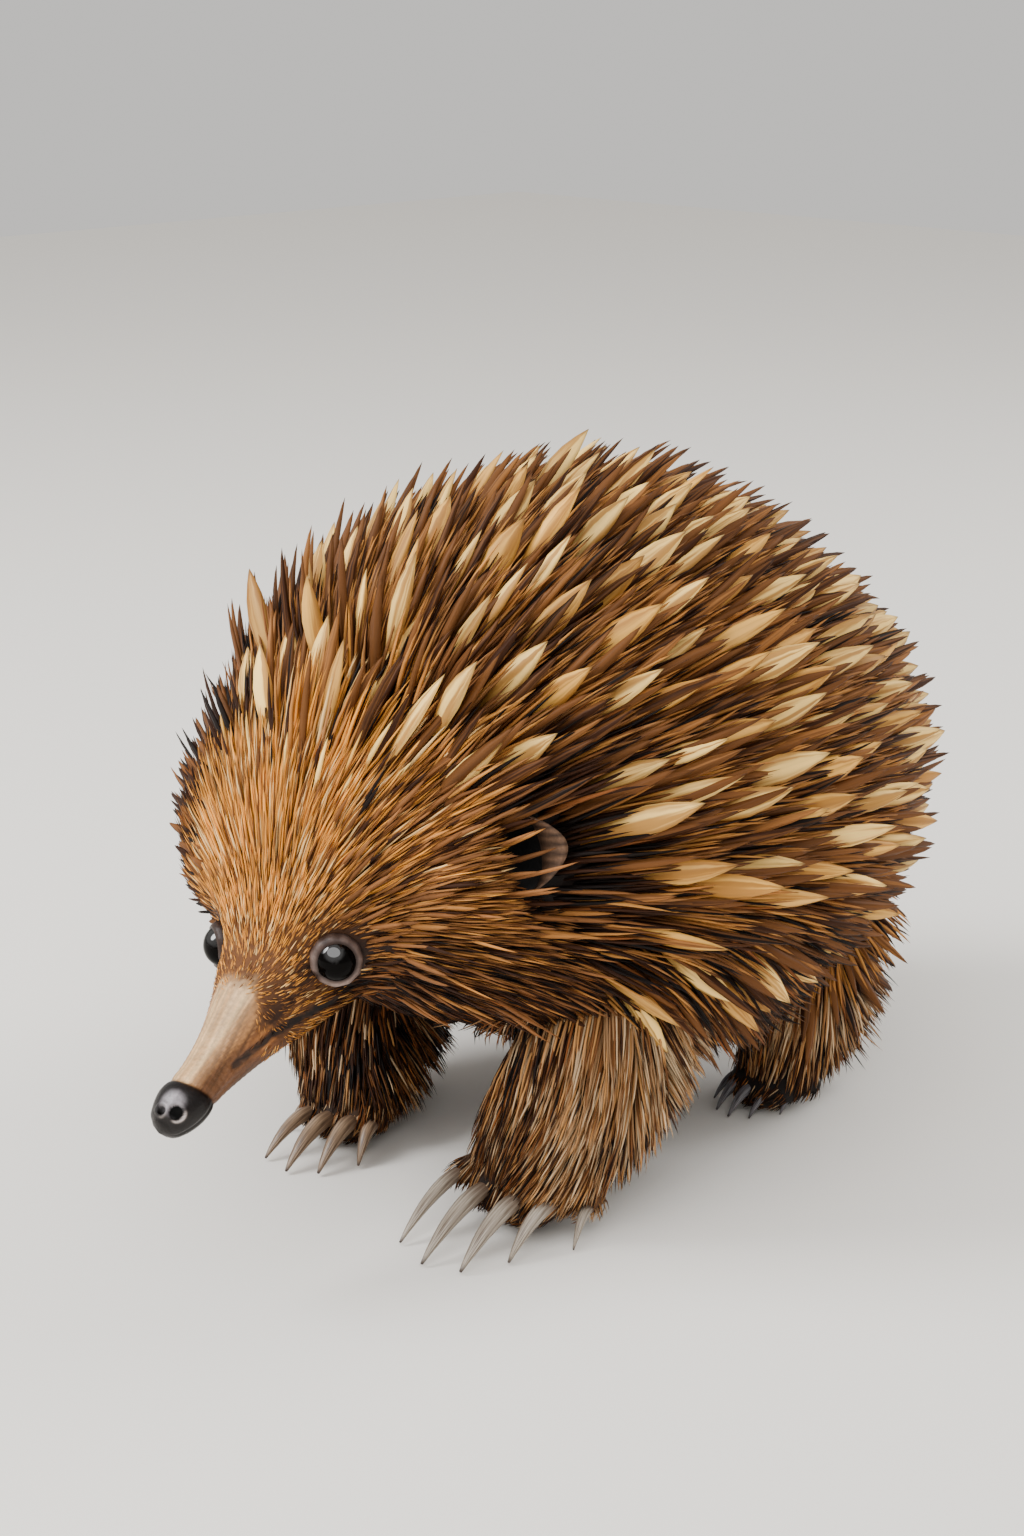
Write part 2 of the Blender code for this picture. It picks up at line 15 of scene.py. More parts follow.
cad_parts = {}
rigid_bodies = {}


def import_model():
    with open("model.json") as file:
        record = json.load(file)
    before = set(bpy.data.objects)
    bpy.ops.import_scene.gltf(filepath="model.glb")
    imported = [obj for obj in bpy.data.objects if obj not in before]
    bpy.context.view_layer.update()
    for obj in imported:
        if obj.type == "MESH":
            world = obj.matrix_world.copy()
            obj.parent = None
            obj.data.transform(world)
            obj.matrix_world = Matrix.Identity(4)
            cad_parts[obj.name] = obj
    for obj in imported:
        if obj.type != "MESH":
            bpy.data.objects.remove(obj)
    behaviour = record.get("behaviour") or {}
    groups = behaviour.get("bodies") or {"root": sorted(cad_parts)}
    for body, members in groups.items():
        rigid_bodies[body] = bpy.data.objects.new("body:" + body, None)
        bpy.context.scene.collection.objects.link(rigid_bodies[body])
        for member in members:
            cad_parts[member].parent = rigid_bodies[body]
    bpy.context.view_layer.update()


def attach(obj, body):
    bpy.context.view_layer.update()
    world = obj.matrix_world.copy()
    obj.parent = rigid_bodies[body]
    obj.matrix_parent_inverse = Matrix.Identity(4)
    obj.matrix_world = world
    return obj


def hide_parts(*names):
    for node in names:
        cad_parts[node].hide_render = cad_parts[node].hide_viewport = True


for old in list(bpy.data.objects):
    bpy.data.objects.remove(old)
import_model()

MM = 0.001
# The tables stand under the shoulders, as the solids' own do. This step takes them to the middle.
TO_MIDDLE = np.array([0.5, 3.8, 0.0])

# Cross-sections of the flesh: x, y, z of the middle, half width, height above it, depth below it.
TRUNK = (
    (0, 159, 116, 9, 8, 9),
    (0, 154, 118, 31, 25, 30),
    (0, 137, 123, 55, 50, 55),
    (0, 110, 128, 77, 77, 78),
    (0, 70, 131, 96, 101, 91),
    (0, 22, 134, 106, 113, 91),
    (0, -28, 137, 105, 108, 80),
    (0, -68, 140, 94, 92, 65),
    (0, -94, 143, 79, 74, 58),
    (0, -112, 146, 56, 54, 44),
    (0, -121, 149, 18, 18, 16),
)
HEAD = (
    (-3, -52, 138, 52, 50, 50),
    (-4.5, -72, 135, 72, 65, 57),
    (-5.5, -90, 132, 75, 65, 55),
    (-4.5, -108, 124.5, 64, 51, 47),
    (-0.8, -128, 112, 39.5, 29.5, 31),
    (2.2, -140, 103.4, 26.5, 18, 25),
    (4.6, -150.5, 96.6, 17.4, 12.6, 20.5),
    (7.6, -164.5, 88, 11.2, 8.6, 14),
    (10, -178, 80.2, 8.4, 7, 10.2),
    (11.8, -188.5, 73.8, 8.8, 7.9, 8.6),
    (12.6, -195, 70, 6.4, 6, 6),
)
FORELEG = (
    (54, -36, 118, 18, 18, 18),
    (65, -39, 94, 27, 30, 26),
    (67, -43, 68, 29, 32, 24),
    (62, -49, 45, 27, 30, 22),
    (56, -57, 27, 25, 23, 19),
    (52, -65, 17.5, 24, 15, 18),
    (52, -72, 13, 22, 11, 15),
    (51.5, -77, 10, 17, 7, 11),
)
# The right foreleg stands further back, and its foot turns inwards.
FORELEG_RIGHT = (
    (-54, -30, 118, 18, 18, 18),
    (-66, -32, 94, 26, 28, 28),
    (-71, -35, 68, 27, 29, 28),
    (-68, -40, 45, 25, 26, 25),
    (-59, -49, 27, 23, 20, 20),
    (-49, -61, 16, 22, 15, 17),
    (-44, -71, 11, 20, 10, 13),
    (-42, -77, 9, 15, 6.5, 10),
)
HINDLEG = (
    (46, 90, 110, 20, 24, 24),
    (54, 88, 88, 25, 31, 31),
    (58, 86, 62, 24, 28, 28),
    (58, 84, 41, 20, 22, 22),
    (56, 81, 25, 18, 18, 19),
    (55, 74, 14, 17, 12, 15),
    (54, 66, 10.5, 16, 8, 12),
    (54, 61, 8.5, 11, 5.5, 9),
)
TAIL = (
    (0, 144, 96, 15, 12, 12),
    (0, 155, 90, 14, 11, 11),
    (0, 165, 83, 11, 9, 9),
    (0, 173, 76, 7, 6, 6),
    (0, 177, 71, 3, 2.5, 2.5),
)
HIND_STEP = 14
# How far the skin lies inside the solids: under the head's short fur, and under the legs' locks.
HEAD_COAT = (1, 2, 3, 3, 2.5, 1.2, 0.3, 0, 0, 0, 0)
LEG_COAT = 1.5
TRUNK_COAT = 1.0

# Claws of each foot, from the inner side out: root, tip, half width.
FORE_CLAWS = (
    ((30.8, -74.4, 16), (35.1, -111.2, 1.3), 2.9),
    ((46.4, -77, 16), (51.9, -116.3, 1.3), 3.5),
    ((60.9, -74.8, 16), (65.7, -110.5, 1.3), 3.6),
    ((71.9, -69.3, 16), (73, -93.8, 1.3), 3.1),
    ((78, -57, 11), (83, -71, 1.3), 2.0),
)
FORE_CLAWS_RIGHT = (
    ((-29, -66, 11), (-20.5, -82, 1.3), 2.9),
    ((-33.5, -71, 13), (-26.5, -97, 1.3), 3.5),
    ((-42, -75, 13), (-36.5, -104.5, 1.3), 3.6),
    ((-52, -75, 12), (-50.5, -103, 1.3), 3.1),
    ((-60, -66, 10), (-64, -80, 1.3), 2.2),
)
HIND_CLAWS = (
    ((42, 74, 9), (37, 60, 1.2), 2.0),
    ((47.5, 69, 10.5), (44.7, 52.5, 1.2), 2.5),
    ((55, 67, 10.5), (52, 51, 1.2), 2.5),
    ((61.5, 70, 10), (59, 55.5, 1.2), 2.2),
    ((68, 77, 9), (65.5, 67, 1.2), 1.9),
)
CLAW_ARCH = 4.0
TOE_BACK = 12.0

BEAK_ROOT = np.array([4.6, -150.5, 96.6])
EYE_ROOT = np.array([0.6, -133.7, 110.0])
EYE_RADIUS = 8.0
EYE_SIDEWAYS = 27.2
EYE_UP = 1.2
EYE_ROLL = -3.2
EYE_LOOK = (0.74, 0.58, 0.34)
# Where each wet eye shines: the near one under the key light, the far one under the light at the left.
EYE_SHINE = {"left": (0.525, -0.583, 0.619), "right": (0.155, -0.73, 0.66)}
# The skin round an eye is drawn in by this depth, this much more on the side of the nose, out to this reach.
SOCKETS = {1: (1.2, 2.8, 20), -1: (2.0, 6.5, 24)}
# The ways that the bare lids look: to the side, ahead and up. The far one turns further up.
LID_LOOKS = {1: (0.72, 0.56, 0.42), -1: (0.50, 0.62, 0.60)}
EAR_PLACE = (79.5, -93, 157.5)
EAR_LOOK = (0.86, -0.42, 0.28)
EAR_HOLLOW = (8.0, 14.5)
EAR_DEPTH = 8.0
NOSE_MIDDLE = np.array([12.0, -190.5, 72.6])
# The ways from the middle of the nose to its nostrils, and to the middle of its shiny front, which is glossier
# and painted with a pale highlight.
NOSTRIL_WAYS = ((0.74, -0.56, 0.38), (0.17, -0.90, 0.40))
FACET_WAY = (0.42, -0.52, 0.74)
NOSTRIL_SIZES = (2.3, 1.4)
# The crease at the side of the beak, ahead of the beak's root, left of it and above it.
CREASE = ((-10.7, 22.3, -11.8), (-5.7, 19.7, -9.2), (-0.6, 17.0, -6.5), (6.2, 14.3, -3.5), (11.8, 12.6, -1.9),
          (17.6, 10.9, 0.0), (24.5, 9.4, 2.2))

# The spines begin behind this sloping plane, and lean back from a place in the face.
NECK_PLACE = (0, -122, 190)
NECK_SLOPE = 0.38
FACE = np.array([0, -123, 125.0])
SPINE_FLOOR = 54
CREAM_FLOOR = 86
SEED = 11

FLOOR_SIZE = 6.0
CAMERA_TURN = 45
CAMERA_RISE = 18
CAMERA_AWAY = 0.95
CAMERA_LENS = 58
CAMERA_AIM = (-0.0127, -0.0021, 0.1457)


def srgb(red, green, blue):
    """A colour as a painter names it, from 0 to 255, turned into linear light."""
    return tuple((np.array([red, green, blue]) / 255) ** 2.2)


def unit(ways):
    return ways / (np.linalg.norm(ways, axis=-1, keepdims=True) + 1e-9)


def along_skin(ways, outs):
    """The part of each way that runs along the skin, as a unit way."""
    return unit(ways - outs * (ways * outs).sum(-1, keepdims=True))


def ease(low, high, values):
    """0 below low, 1 above high, and the smooth curve 3t^2 - 2t^3 between them."""
    t = np.clip((values - low) / (high - low), 0, 1)
    return t * t * (3 - 2 * t)


def smooth_rows(rows, steps):
    """The rows' numbers read at the given steps along a Catmull-Rom curve through them."""
    table = np.array(rows, float)
    padded = np.vstack([2 * table[0] - table[1], table, 2 * table[-1] - table[-2]])
    along = np.linspace(0, len(table) - 1, steps)
    start = np.minimum(along.astype(int), len(table) - 2)
    t = (along - start)[:, None]
    a, b, c, d = (padded[start + k] for k in range(4))
    return 0.5 * (2 * b + (c - a) * t + (2 * a - 5 * b + 4 * c - d) * t**2 + (3 * b - a - 3 * c + d) * t**3)


def frames(centres):
    """The way along a path at each of its points, and the two ways across it: to the left, and up."""
    along = unit(np.gradient(centres, axis=0))
    left = unit(np.array([1.0, 0, 0]) - along * along[:, :1])
    return along, left, np.cross(along, left)


def oval_tube(rows, rings, sides):
    """A tube's points at (s, a): middle(s) + left cos(a) width(s) + up sin(a) height(s), and its two caps."""
    table = smooth_rows(rows, rings)
    centres, half = table[:, :3], np.maximum(table[:, 3:], 0.05)
    along, left, up = frames(centres)
    turn = np.arange(sides) * 2 * math.pi / sides
    rise = np.where(np.sin(turn) > 0, half[:, 1:2], half[:, 2:3]) * np.sin(turn)
    across = half[:, :1] * np.cos(turn)
    points = centres[:, None] + across[..., None] * left[:, None] + rise[..., None] * up[:, None]
    reach = half[[0, -1]].mean(axis=1) * 0.5
    ends = centres[[0, -1]] + along[[0, -1]] * (reach * [-1, 1])[:, None]
    return points, ends


def tube_faces(rings, sides):
    """Corners of a tube's quads, and of the triangles that close its two ends, numbered ring by ring."""
    ring, side = np.meshgrid(np.arange(rings - 1), np.arange(sides), indexing="ij")
    low = ring * sides + side
    low_next = ring * sides + (side + 1) % sides
    quads = np.stack([low, low_next, low_next + sides, low + sides], axis=-1).reshape(-1, 4)
    side = np.arange(sides)
    following = (side + 1) % sides
    first, last = rings * sides, (rings - 1) * sides
    start = np.stack([np.full(sides, first), following, side], axis=-1)
    end = np.stack([np.full(sides, first + 1), last + side, last + following], axis=-1)
    return quads, np.vstack([start, end])


def mesh_object(name, points, *face_sets):
    """A smooth mesh of points in millimetres and sets of faces with the same number of corners."""
    corners = np.concatenate([faces.ravel() for faces in face_sets]).astype(np.int32)
    sizes = np.concatenate([np.full(len(faces), faces.shape[1]) for faces in face_sets])
    mesh = bpy.data.meshes.new(name)
    mesh.vertices.add(len(points))
    mesh.vertices.foreach_set("co", ((points + TO_MIDDLE) * MM).astype(np.float32).ravel())
    mesh.loops.add(len(corners))
    mesh.loops.foreach_set("vertex_index", corners)
    mesh.polygons.add(len(sizes))
    mesh.polygons.foreach_set("loop_start", (np.cumsum(sizes) - sizes).astype(np.int32))
    mesh.update(calc_edges=True)
    mesh.validate()
    mesh.shade_smooth()
    obj = bpy.data.objects.new(name, mesh)
    bpy.context.scene.collection.objects.link(obj)
    return obj


def tube_object(name, points, ends):
    rings, sides = points.shape[:2]
    return mesh_object(name, np.vstack([points.reshape(-1, 3), ends]), *tube_faces(rings, sides))


def with_numbers(obj, name, values):
    """Keeps one number, or one colour, for each point of the mesh."""
    mesh = obj.data
    if values.ndim == 1:
        mesh.attributes.new(name, "FLOAT", "POINT").data.foreach_set("value", values.astype(np.float32))
    else:
        colours = np.hstack([values, np.ones((len(values), 1))]).astype(np.float32)
        mesh.attributes.new(name, "FLOAT_COLOR", "POINT").data.foreach_set("color", colours.ravel())


def with_uv(obj, name, places):
    """Gives the mesh a UV map from one place for each of its points."""
    corners = np.empty(len(obj.data.loops), np.int32)
    obj.data.loops.foreach_get("vertex_index", corners)
    layer = obj.data.uv_layers.new(name=name)
    layer.data.foreach_set("uv", places[corners].astype(np.float32).ravel())


def settled(obj):
    """Makes the object's modifiers part of its mesh."""
    graph = bpy.context.evaluated_depsgraph_get()
    made = bpy.data.meshes.new_from_object(obj.evaluated_get(graph), depsgraph=graph)
    obj.modifiers.clear()
    obj.data = made
    return obj


def joined(obj, other, operation):
    """One Boolean between two closed meshes. The other one is then removed."""
    modifier = obj.modifiers.new("join", "BOOLEAN")
    modifier.operation = operation
    modifier.solver = "MANIFOLD"
    modifier.object = other
    settled(obj)
    bpy.data.objects.remove(other)
    return obj


def thinner(rows, coat):
    """Sections drawn in by the depth of the coat: one depth for all, or one for each."""
    table = np.array(rows, float)
    table[:, 3:] = np.maximum(table[:, 3:] - np.broadcast_to(coat, len(table))[:, None], 1)
    return table


def other_side(rows, step):
    """A left leg's rows turned into the right leg's, which stands step millimetres further back."""
    return tuple((-row[0], row[1] + step, *row[2:]) for row in rows)


def other_claws(claws, step):
    return tuple((*other_side((root, tip), step), half) for root, tip, half in claws)


def toe_rows(root, tip, half):
    """The fleshy toe that a claw grows from."""
    root, tip = np.array(root, float), np.array(tip, float)
    back = unit(root - tip) * TOE_BACK
    rows = []
    for t, wide in ((1.0, 1.5), (0.45, 1.6), (0.0, 1.35), (-0.45, 0.95)):
        middle = root + back * t * (1, 1, 0.3 if t > 0 else 1) + (0, 0, 1 - 2.5 * max(t, 0))
        rows.append((*middle, half * wide, half * wide * 0.9, half * wide * 1.3))
    return rows


LEGS = {
    "foreleg_left": (FORELEG, FORE_CLAWS),
    "foreleg_right": (FORELEG_RIGHT, FORE_CLAWS_RIGHT),
    "hindleg_left": (HINDLEG, HIND_CLAWS),
    "hindleg_right": (other_side(HINDLEG, HIND_STEP), other_claws(HIND_CLAWS, HIND_STEP)),
}
FORMS = {
    "trunk": thinner(TRUNK, TRUNK_COAT),
    "head": thinner(HEAD, HEAD_COAT),
    "tail": thinner(TAIL, 1.0),
    **{name: thinner(rows, LEG_COAT) for name, (rows, _) in LEGS.items()},
}
FORM_NAMES = list(FORMS)
# The beak's own finer form starts inside the head and comes out of its skin at the beak's root.
BEAK = thinner((*HEAD[4:], (12.9, -197.6, 68.7, 3.6, 3.4, 3.4)), (5, 2.4, 0.5, -0.1, -0.1, -0.1, -0.1, 0))


def head_axes():
    """The ways ahead, to the left and up of the head, as it is turned and tilted."""
    ahead = unit(BEAK_ROOT - EYE_ROOT)
    left = along_skin(np.array([1.0, 0, 0]), ahead)
    roll = math.radians(-EYE_ROLL)
    left = left * math.cos(roll) + np.cross(ahead, left) * math.sin(roll)
    return ahead, left, np.cross(ahead, left)


def eye_place(side):
    """The middle of an eyeball and the way that it looks."""
    ahead, left, up = head_axes()
    place = EYE_ROOT + left * side * EYE_SIDEWAYS + up * EYE_UP
    look = left * side * EYE_LOOK[0] + ahead * EYE_LOOK[1] + up * EYE_LOOK[2]
    return place, unit(look)


def across(look):
    """Two ways across a way of looking: one level, and one upright."""
    level = unit(np.cross(np.array([0, 0, 1.0]), look))
    return level, np.cross(look, level)


def ball(name, place, look, radius, shine, turns=40, rises=24):
    """A sphere whose poles lie along its look: look cos(b) + (level cos(a) + upright sin(a)) sin(b).

    Its film of tears is kept as a number for each point: high where it faces the way of its shine.
    """
    level, upright = across(look)
    b = np.linspace(0, math.pi, rises + 2)[1:-1][::-1, None, None]
    a = (np.arange(turns) * 2 * math.pi / turns)[None, :, None]
    points = look * np.cos(b) + (level * np.cos(a) + upright * np.sin(a)) * np.sin(b)
    points = place + points * radius
    ends = np.array([place - look * radius, place + look * radius])
    sphere = tube_object(name, points, ends)
    outs = np.vstack([points.reshape(-1, 3), ends]) - place
    with_numbers(sphere, "film", 0.04 + 0.96 * ease(0.885, 0.935, unit(outs) @ unit(np.array(shine))))
    return sphere


BODY_VOXEL = 0.0023
BODY_SMOOTH = 7


def make_body():
    """Flesh from all the forms at once, made one surface on a fine grid and smoothed where they meet."""
    points, quads, triangles, count = [], [], [], 0
    tubes = [oval_tube(rows, 48, 56) for rows in FORMS.values()]
    for rows, claws in LEGS.values():
        tubes += [oval_tube(toe_rows(*claw), 10, 16) for claw in claws]
    for ring_points, ends in tubes:
        four, three = tube_faces(*ring_points.shape[:2])
        points += [ring_points.reshape(-1, 3), ends]
        quads.append(four + count)
        triangles.append(three + count)
        count += ring_points.shape[0] * ring_points.shape[1] + 2
    body = mesh_object("echidna_skin", np.vstack(points), np.vstack(quads), np.vstack(triangles))
    grid = body.modifiers.new("grid", "REMESH")
    grid.mode = "VOXEL"
    grid.voxel_size = BODY_VOXEL
    soften = body.modifiers.new("soften", "SMOOTH")
    soften.factor = 0.6
    soften.iterations = BODY_SMOOTH
    settled(body)
    places = np.empty(len(body.data.vertices) * 3, np.float32)
    body.data.vertices.foreach_get("co", places)
    places = places.reshape(-1, 3)
    places[:, 2] = np.maximum(places[:, 2], 0)
    for side in (1, -1):
        _, look, _, _ = ear_axes(side)
        oval = ear_oval(places / MM - TO_MIDDLE, side)
        places -= look * (EAR_DEPTH * MM * np.clip(1 - oval**2, 0, 1) ** 0.7)[:, None]
        places -= socket(places / MM - TO_MIDDLE, side) * MM
    body.data.vertices.foreach_set("co", places.ravel())
    body.data.update()
    return body


def socket(places, side):
    """How the skin sinks round an eye: straight in, most on the side of the nose, less and less outwards."""
    ahead, left, up = head_axes()
    eye, look = eye_place(side)
    apart = places - eye
    flat = apart - look * (apart @ look)[:, None]
    away = np.linalg.norm(flat, axis=1)
    inner = 0.5 - 0.5 * unit(flat) @ (left * side * 0.9 - up * 0.1)
    depth, more, wide = SOCKETS[side]
    depth = (depth + more * inner) * ease(wide, 7, away) * ease(16, 10, np.abs(apart @ look))
    return look * depth[:, None]


def nearest(points, targets):
    """The number of the target nearest to each point, from the squared distances of all pairs in blocks."""
    points, targets = points.astype(np.float32), targets.astype(np.float32)
    square = (targets**2).sum(1)
    best = [(square - 2 * points[k : k + 2000] @ targets.T).argmin(1) for k in range(0, len(points), 2000)]
    return np.concatenate(best)


class Ground:
    """The skin as the coat reads it: its triangles, the ways out of it, and the form of each point."""

    def __init__(self, body):
        mesh = body.data
        self.places = self.read(mesh.vertices, "co", 3) / MM - TO_MIDDLE
        self.ways = self.read(mesh.vertex_normals, "vector", 3)
        mesh.calc_loop_triangles()
        self.corners = self.read(mesh.loop_triangles, "vertices", 3, np.int32)
        a, b, c = (self.places[self.corners[:, k]] for k in range(3))
        self.areas = np.linalg.norm(np.cross(b - a, c - a), axis=1) / 2
        self.guide()

    @staticmethod
    def read(items, name, size, kind=np.float32):
        values = np.empty(len(items) * size, kind)
        items.foreach_get(name, values)
        return values.reshape(-1, size)

    def guide(self):
        """Finds the form and the ring of it that lie nearest to each point of the skin."""
        rings, sides = 60, 28
        samples, self.middles, self.axes, self.halves = [], [], [], []
        for rows in FORMS.values():
            table = smooth_rows(rows, rings)
            samples.append(oval_tube(rows, rings, sides)[0].reshape(-1, 3))
            self.middles.append(table[:, :3])
            self.axes.append(np.stack(frames(table[:, :3]), axis=1))
            self.halves.append(table[:, 3:])
        self.middles = np.concatenate(self.middles)
        self.axes = np.concatenate(self.axes)
        self.halves = np.concatenate(self.halves)
        self.rings = rings
        self.ring = nearest(self.places, np.vstack(samples)) // sides

    def sow(self, count, draw):
        """Random roots, spread evenly over the skin, with what the coat needs to know at each."""
        share = np.cumsum(self.areas)
        picked = np.searchsorted(share, draw.random(count) * share[-1])
        mix = np.sort(draw.random((count, 2)), axis=1)
        mix = np.stack([mix[:, 0], mix[:, 1] - mix[:, 0], 1 - mix[:, 1]], axis=1)
        three = self.corners[picked]
        place = (self.places[three] * mix[..., None]).sum(1)
        out = unit((self.ways[three] * mix[..., None]).sum(1))
        ring = self.ring[three[np.arange(count), mix.argmax(1)]]
        along, left, up = (self.axes[ring][:, k] for k in range(3))
        apart = place - self.middles[ring]
        angle = np.arctan2((apart * up).sum(1), (apart * left).sum(1))
        number = ring % self.rings + (apart * along).sum(1) / 3
        return Roots(place=place, out=out, form=ring // self.rings, along=along, offset=apart, angle=angle,
                     length=number / self.rings)


class Roots:
    """Where tufts grow: arrays of the same length that are picked from together."""

    def __init__(self, **arrays):
        self.__dict__.update(arrays)

    def __len__(self):
        return len(self.place)

    def pick(self, which):
        return Roots(**{name: values[which] for name, values in self.__dict__.items()})

    def spread(self, spacing, draw):
        """Roots of which at most one lies in each cell of a shifted grid, so that they are even."""
        cells = np.floor((self.place + draw.random(3) * spacing) / spacing).astype(np.int64)
        key = (cells[:, 0] * 4096 + cells[:, 1]) * 4096 + cells[:, 2]
        _, first = np.unique(key, return_index=True)
        return self.pick(first)

    def apart(self, spacing):
        """Roots that keep at least the spacing from each other, taken in their own random order."""
        tree = KDTree(len(self))
        for number, place in enumerate(self.place):
            tree.insert(place, number)
        tree.balance()
        near, kept = np.zeros(len(self), bool), []
        for number, place in enumerate(self.place):
            if near[number]:
                continue
            kept.append(number)
            near[[other for _, other, _ in tree.find_range(place, spacing)]] = True
        return self.pick(np.array(kept))

    def of(self, *names):
        """Which roots belong to the named forms."""
        return np.isin(self.form, [FORM_NAMES.index(name) for name in names])

    def behind(self):
        """How far each root lies behind the sloping plane where the spines begin."""
        return self.place[:, 1] - NECK_PLACE[1] + NECK_SLOPE * (self.place[:, 2] - NECK_PLACE[2])

    def unwrap(self):
        """The roots on an unwrap of the skin: the angle round its form, and the length along it.

        The forms lie side by side in a row of equal columns.
        """
        forms, column = np.unique(self.form, return_inverse=True)
        turn = (self.angle + math.pi) / (2 * math.pi)
        low, high = self.length.min(), self.length.max() + 1e-6
        share = (self.length - low) / (high - low)
        return np.stack([(column + 0.01 + turn * 0.98) / len(forms), 0.01 + 0.98 * share], axis=1)


# The size of a tuft's patch on its unwrap, and the height that no tuft hangs below.
PATCH = 0.003
LOWEST = 0.9


def tufts(name, roots, lies, shape, colours, draw):
    """Closed tapered tufts, one for each root, in a single mesh.

    A tuft runs from its root by steps of its length. Its way starts at the lift angle off the skin and
    turns to the settle angle, with a pull down and a sway to one side that grow along it. Across it, its
    outline is an oval of the half width and half thickness times the profile at that place.
    """
    count, sides, steps = len(roots), shape["sides"], np.array(shape["profile"], float)
    rings = len(steps)
    length = np.broadcast_to(shape["length"], count) * draw.uniform(*shape.get("vary", (0.8, 1.2)), count)
    half = np.broadcast_to(shape["half"], count) * draw.uniform(0.8, 1.2, count)
    lift = np.radians(np.broadcast_to(shape["lift"], count) + draw.normal(0, shape.get("unruly", 4), count))
    settle = np.radians(np.broadcast_to(shape["settle"], count) + draw.normal(0, 2, count))
    sway = draw.normal(0, shape.get("sway", 0.1), count)
    level = np.cross(lies, roots.out)
    place = roots.place - roots.out * shape["sunk"]
    t = steps[:, 0]
    path, way = [place], []
    for k in range(rings):
        following = t[k + 1] if k + 1 < rings else 1.0
        angle = lift + (settle - lift) * t[k]
        step = lies * np.cos(angle)[:, None] + roots.out * np.sin(angle)[:, None]
        step = step + level * (sway * (0.3 + t[k]))[:, None]
        step[:, 2] -= shape.get("droop", 0.0) * t[k]
        way.append(unit(step))
        path.append(path[-1] + way[-1] * (length * (following - t[k]))[:, None])
    path, way = np.stack(path, axis=1), np.stack(way, axis=1)
    path[..., 2] = np.maximum(path[..., 2], LOWEST)
    if "gather" in shape:
        path = gathered(path, roots, t, shape["gather"], draw)
        way = unit(np.diff(path, axis=1))
    side = unit(np.cross(way, roots.out[:, None]))
    rise = np.cross(side, way)
    twist = draw.uniform(-shape.get("twist", 0.5), shape.get("twist", 0.5), count)[:, None, None]
    side, rise = side * np.cos(twist) + rise * np.sin(twist), rise * np.cos(twist) - side * np.sin(twist)
    turn = np.arange(sides) * 2 * math.pi / sides + math.pi / 2
    wide = half[:, None] * steps[None, :, 1]
    ovals = side[:, :, None] * np.cos(turn)[:, None]
    ovals = ovals + rise[:, :, None] * np.sin(turn)[:, None] * shape["flat"]
    points = path[:, :-1, None] + ovals * wide[..., None, None]
    points[..., 2] = np.maximum(points[..., 2], LOWEST / 3)
    points = np.concatenate([points.reshape(count, -1, 3), path[:, -1:]], axis=1)
    each = points.shape[1]

    ring, k = np.meshgrid(np.arange(rings - 1), np.arange(sides), indexing="ij")
    low, following = (ring * sides + k).ravel(), (ring * sides + (k + 1) % sides).ravel()
    quads = np.stack([low, low + sides, following + sides, following], axis=1)
    k = np.arange(sides)
    last = (rings - 1) * sides
    tips = np.stack([last + k, np.full(sides, each - 1), last + (k + 1) % sides], axis=1)
    start = (np.arange(count) * each)[:, None, None]
    sets = [(faces[None] + start).reshape(-1, faces.shape[1]) for faces in (quads, tips, k[None])]
    obj = mesh_object(name, points.reshape(-1, 3), *sets)

    along = np.append(np.repeat(t, sides), 1.0)
    aside = np.append(np.tile((np.cos(turn) + 1) / 2, rings), 0.5)
    patch = roots.unwrap()[:, None] + PATCH * (np.stack([aside, along], axis=1) - 0.5)[None]
    with_uv(obj, "OFBake", patch.reshape(-1, 2))
    with_numbers(obj, "along", np.tile(along, count))
    with_numbers(obj, "chance", np.repeat(draw.random(count), each))
    with_numbers(obj, "coat_colour", np.repeat(colours, each, axis=0))
    return obj


def gathered(path, roots, t, sizes, draw):
    """Draws tufts together: each path leans to the middle of its clump, more so towards its tip."""
    spacing, share = sizes
    centres = roots.spread(spacing, draw).place
    clump = nearest(roots.place, centres)
    members = np.bincount(clump, minlength=len(centres))[:, None, None]
    middle = np.zeros((len(centres), *path.shape[1:]))
    np.add.at(middle, clump, path)
    middle = middle / np.maximum(members, 1)
    pull = share * np.append(t, 1.0) ** 1.5
    return path + (middle[clump] - path) * pull[None, :, None]


def chosen(palette, weights, count, draw):
    """One colour of the palette for each tuft, drawn by the given weights."""
    number = draw.choice(len(palette), count, p=np.array(weights) / sum(weights))
    return np.array(palette)[number]


def blended(low, high, share):
    return low * (1 - share[:, None]) + high * share[:, None]


GOLD = srgb(190, 130, 66)
PALE_GOLD = srgb(234, 190, 126)
OCHRE = srgb(172, 114, 58)
BROWN = srgb(112, 72, 40)
DARK = srgb(54, 31, 16)
BLACK = srgb(24, 15, 11)
CREAM = srgb(250, 205, 118)
HONEY = srgb(230, 172, 84)
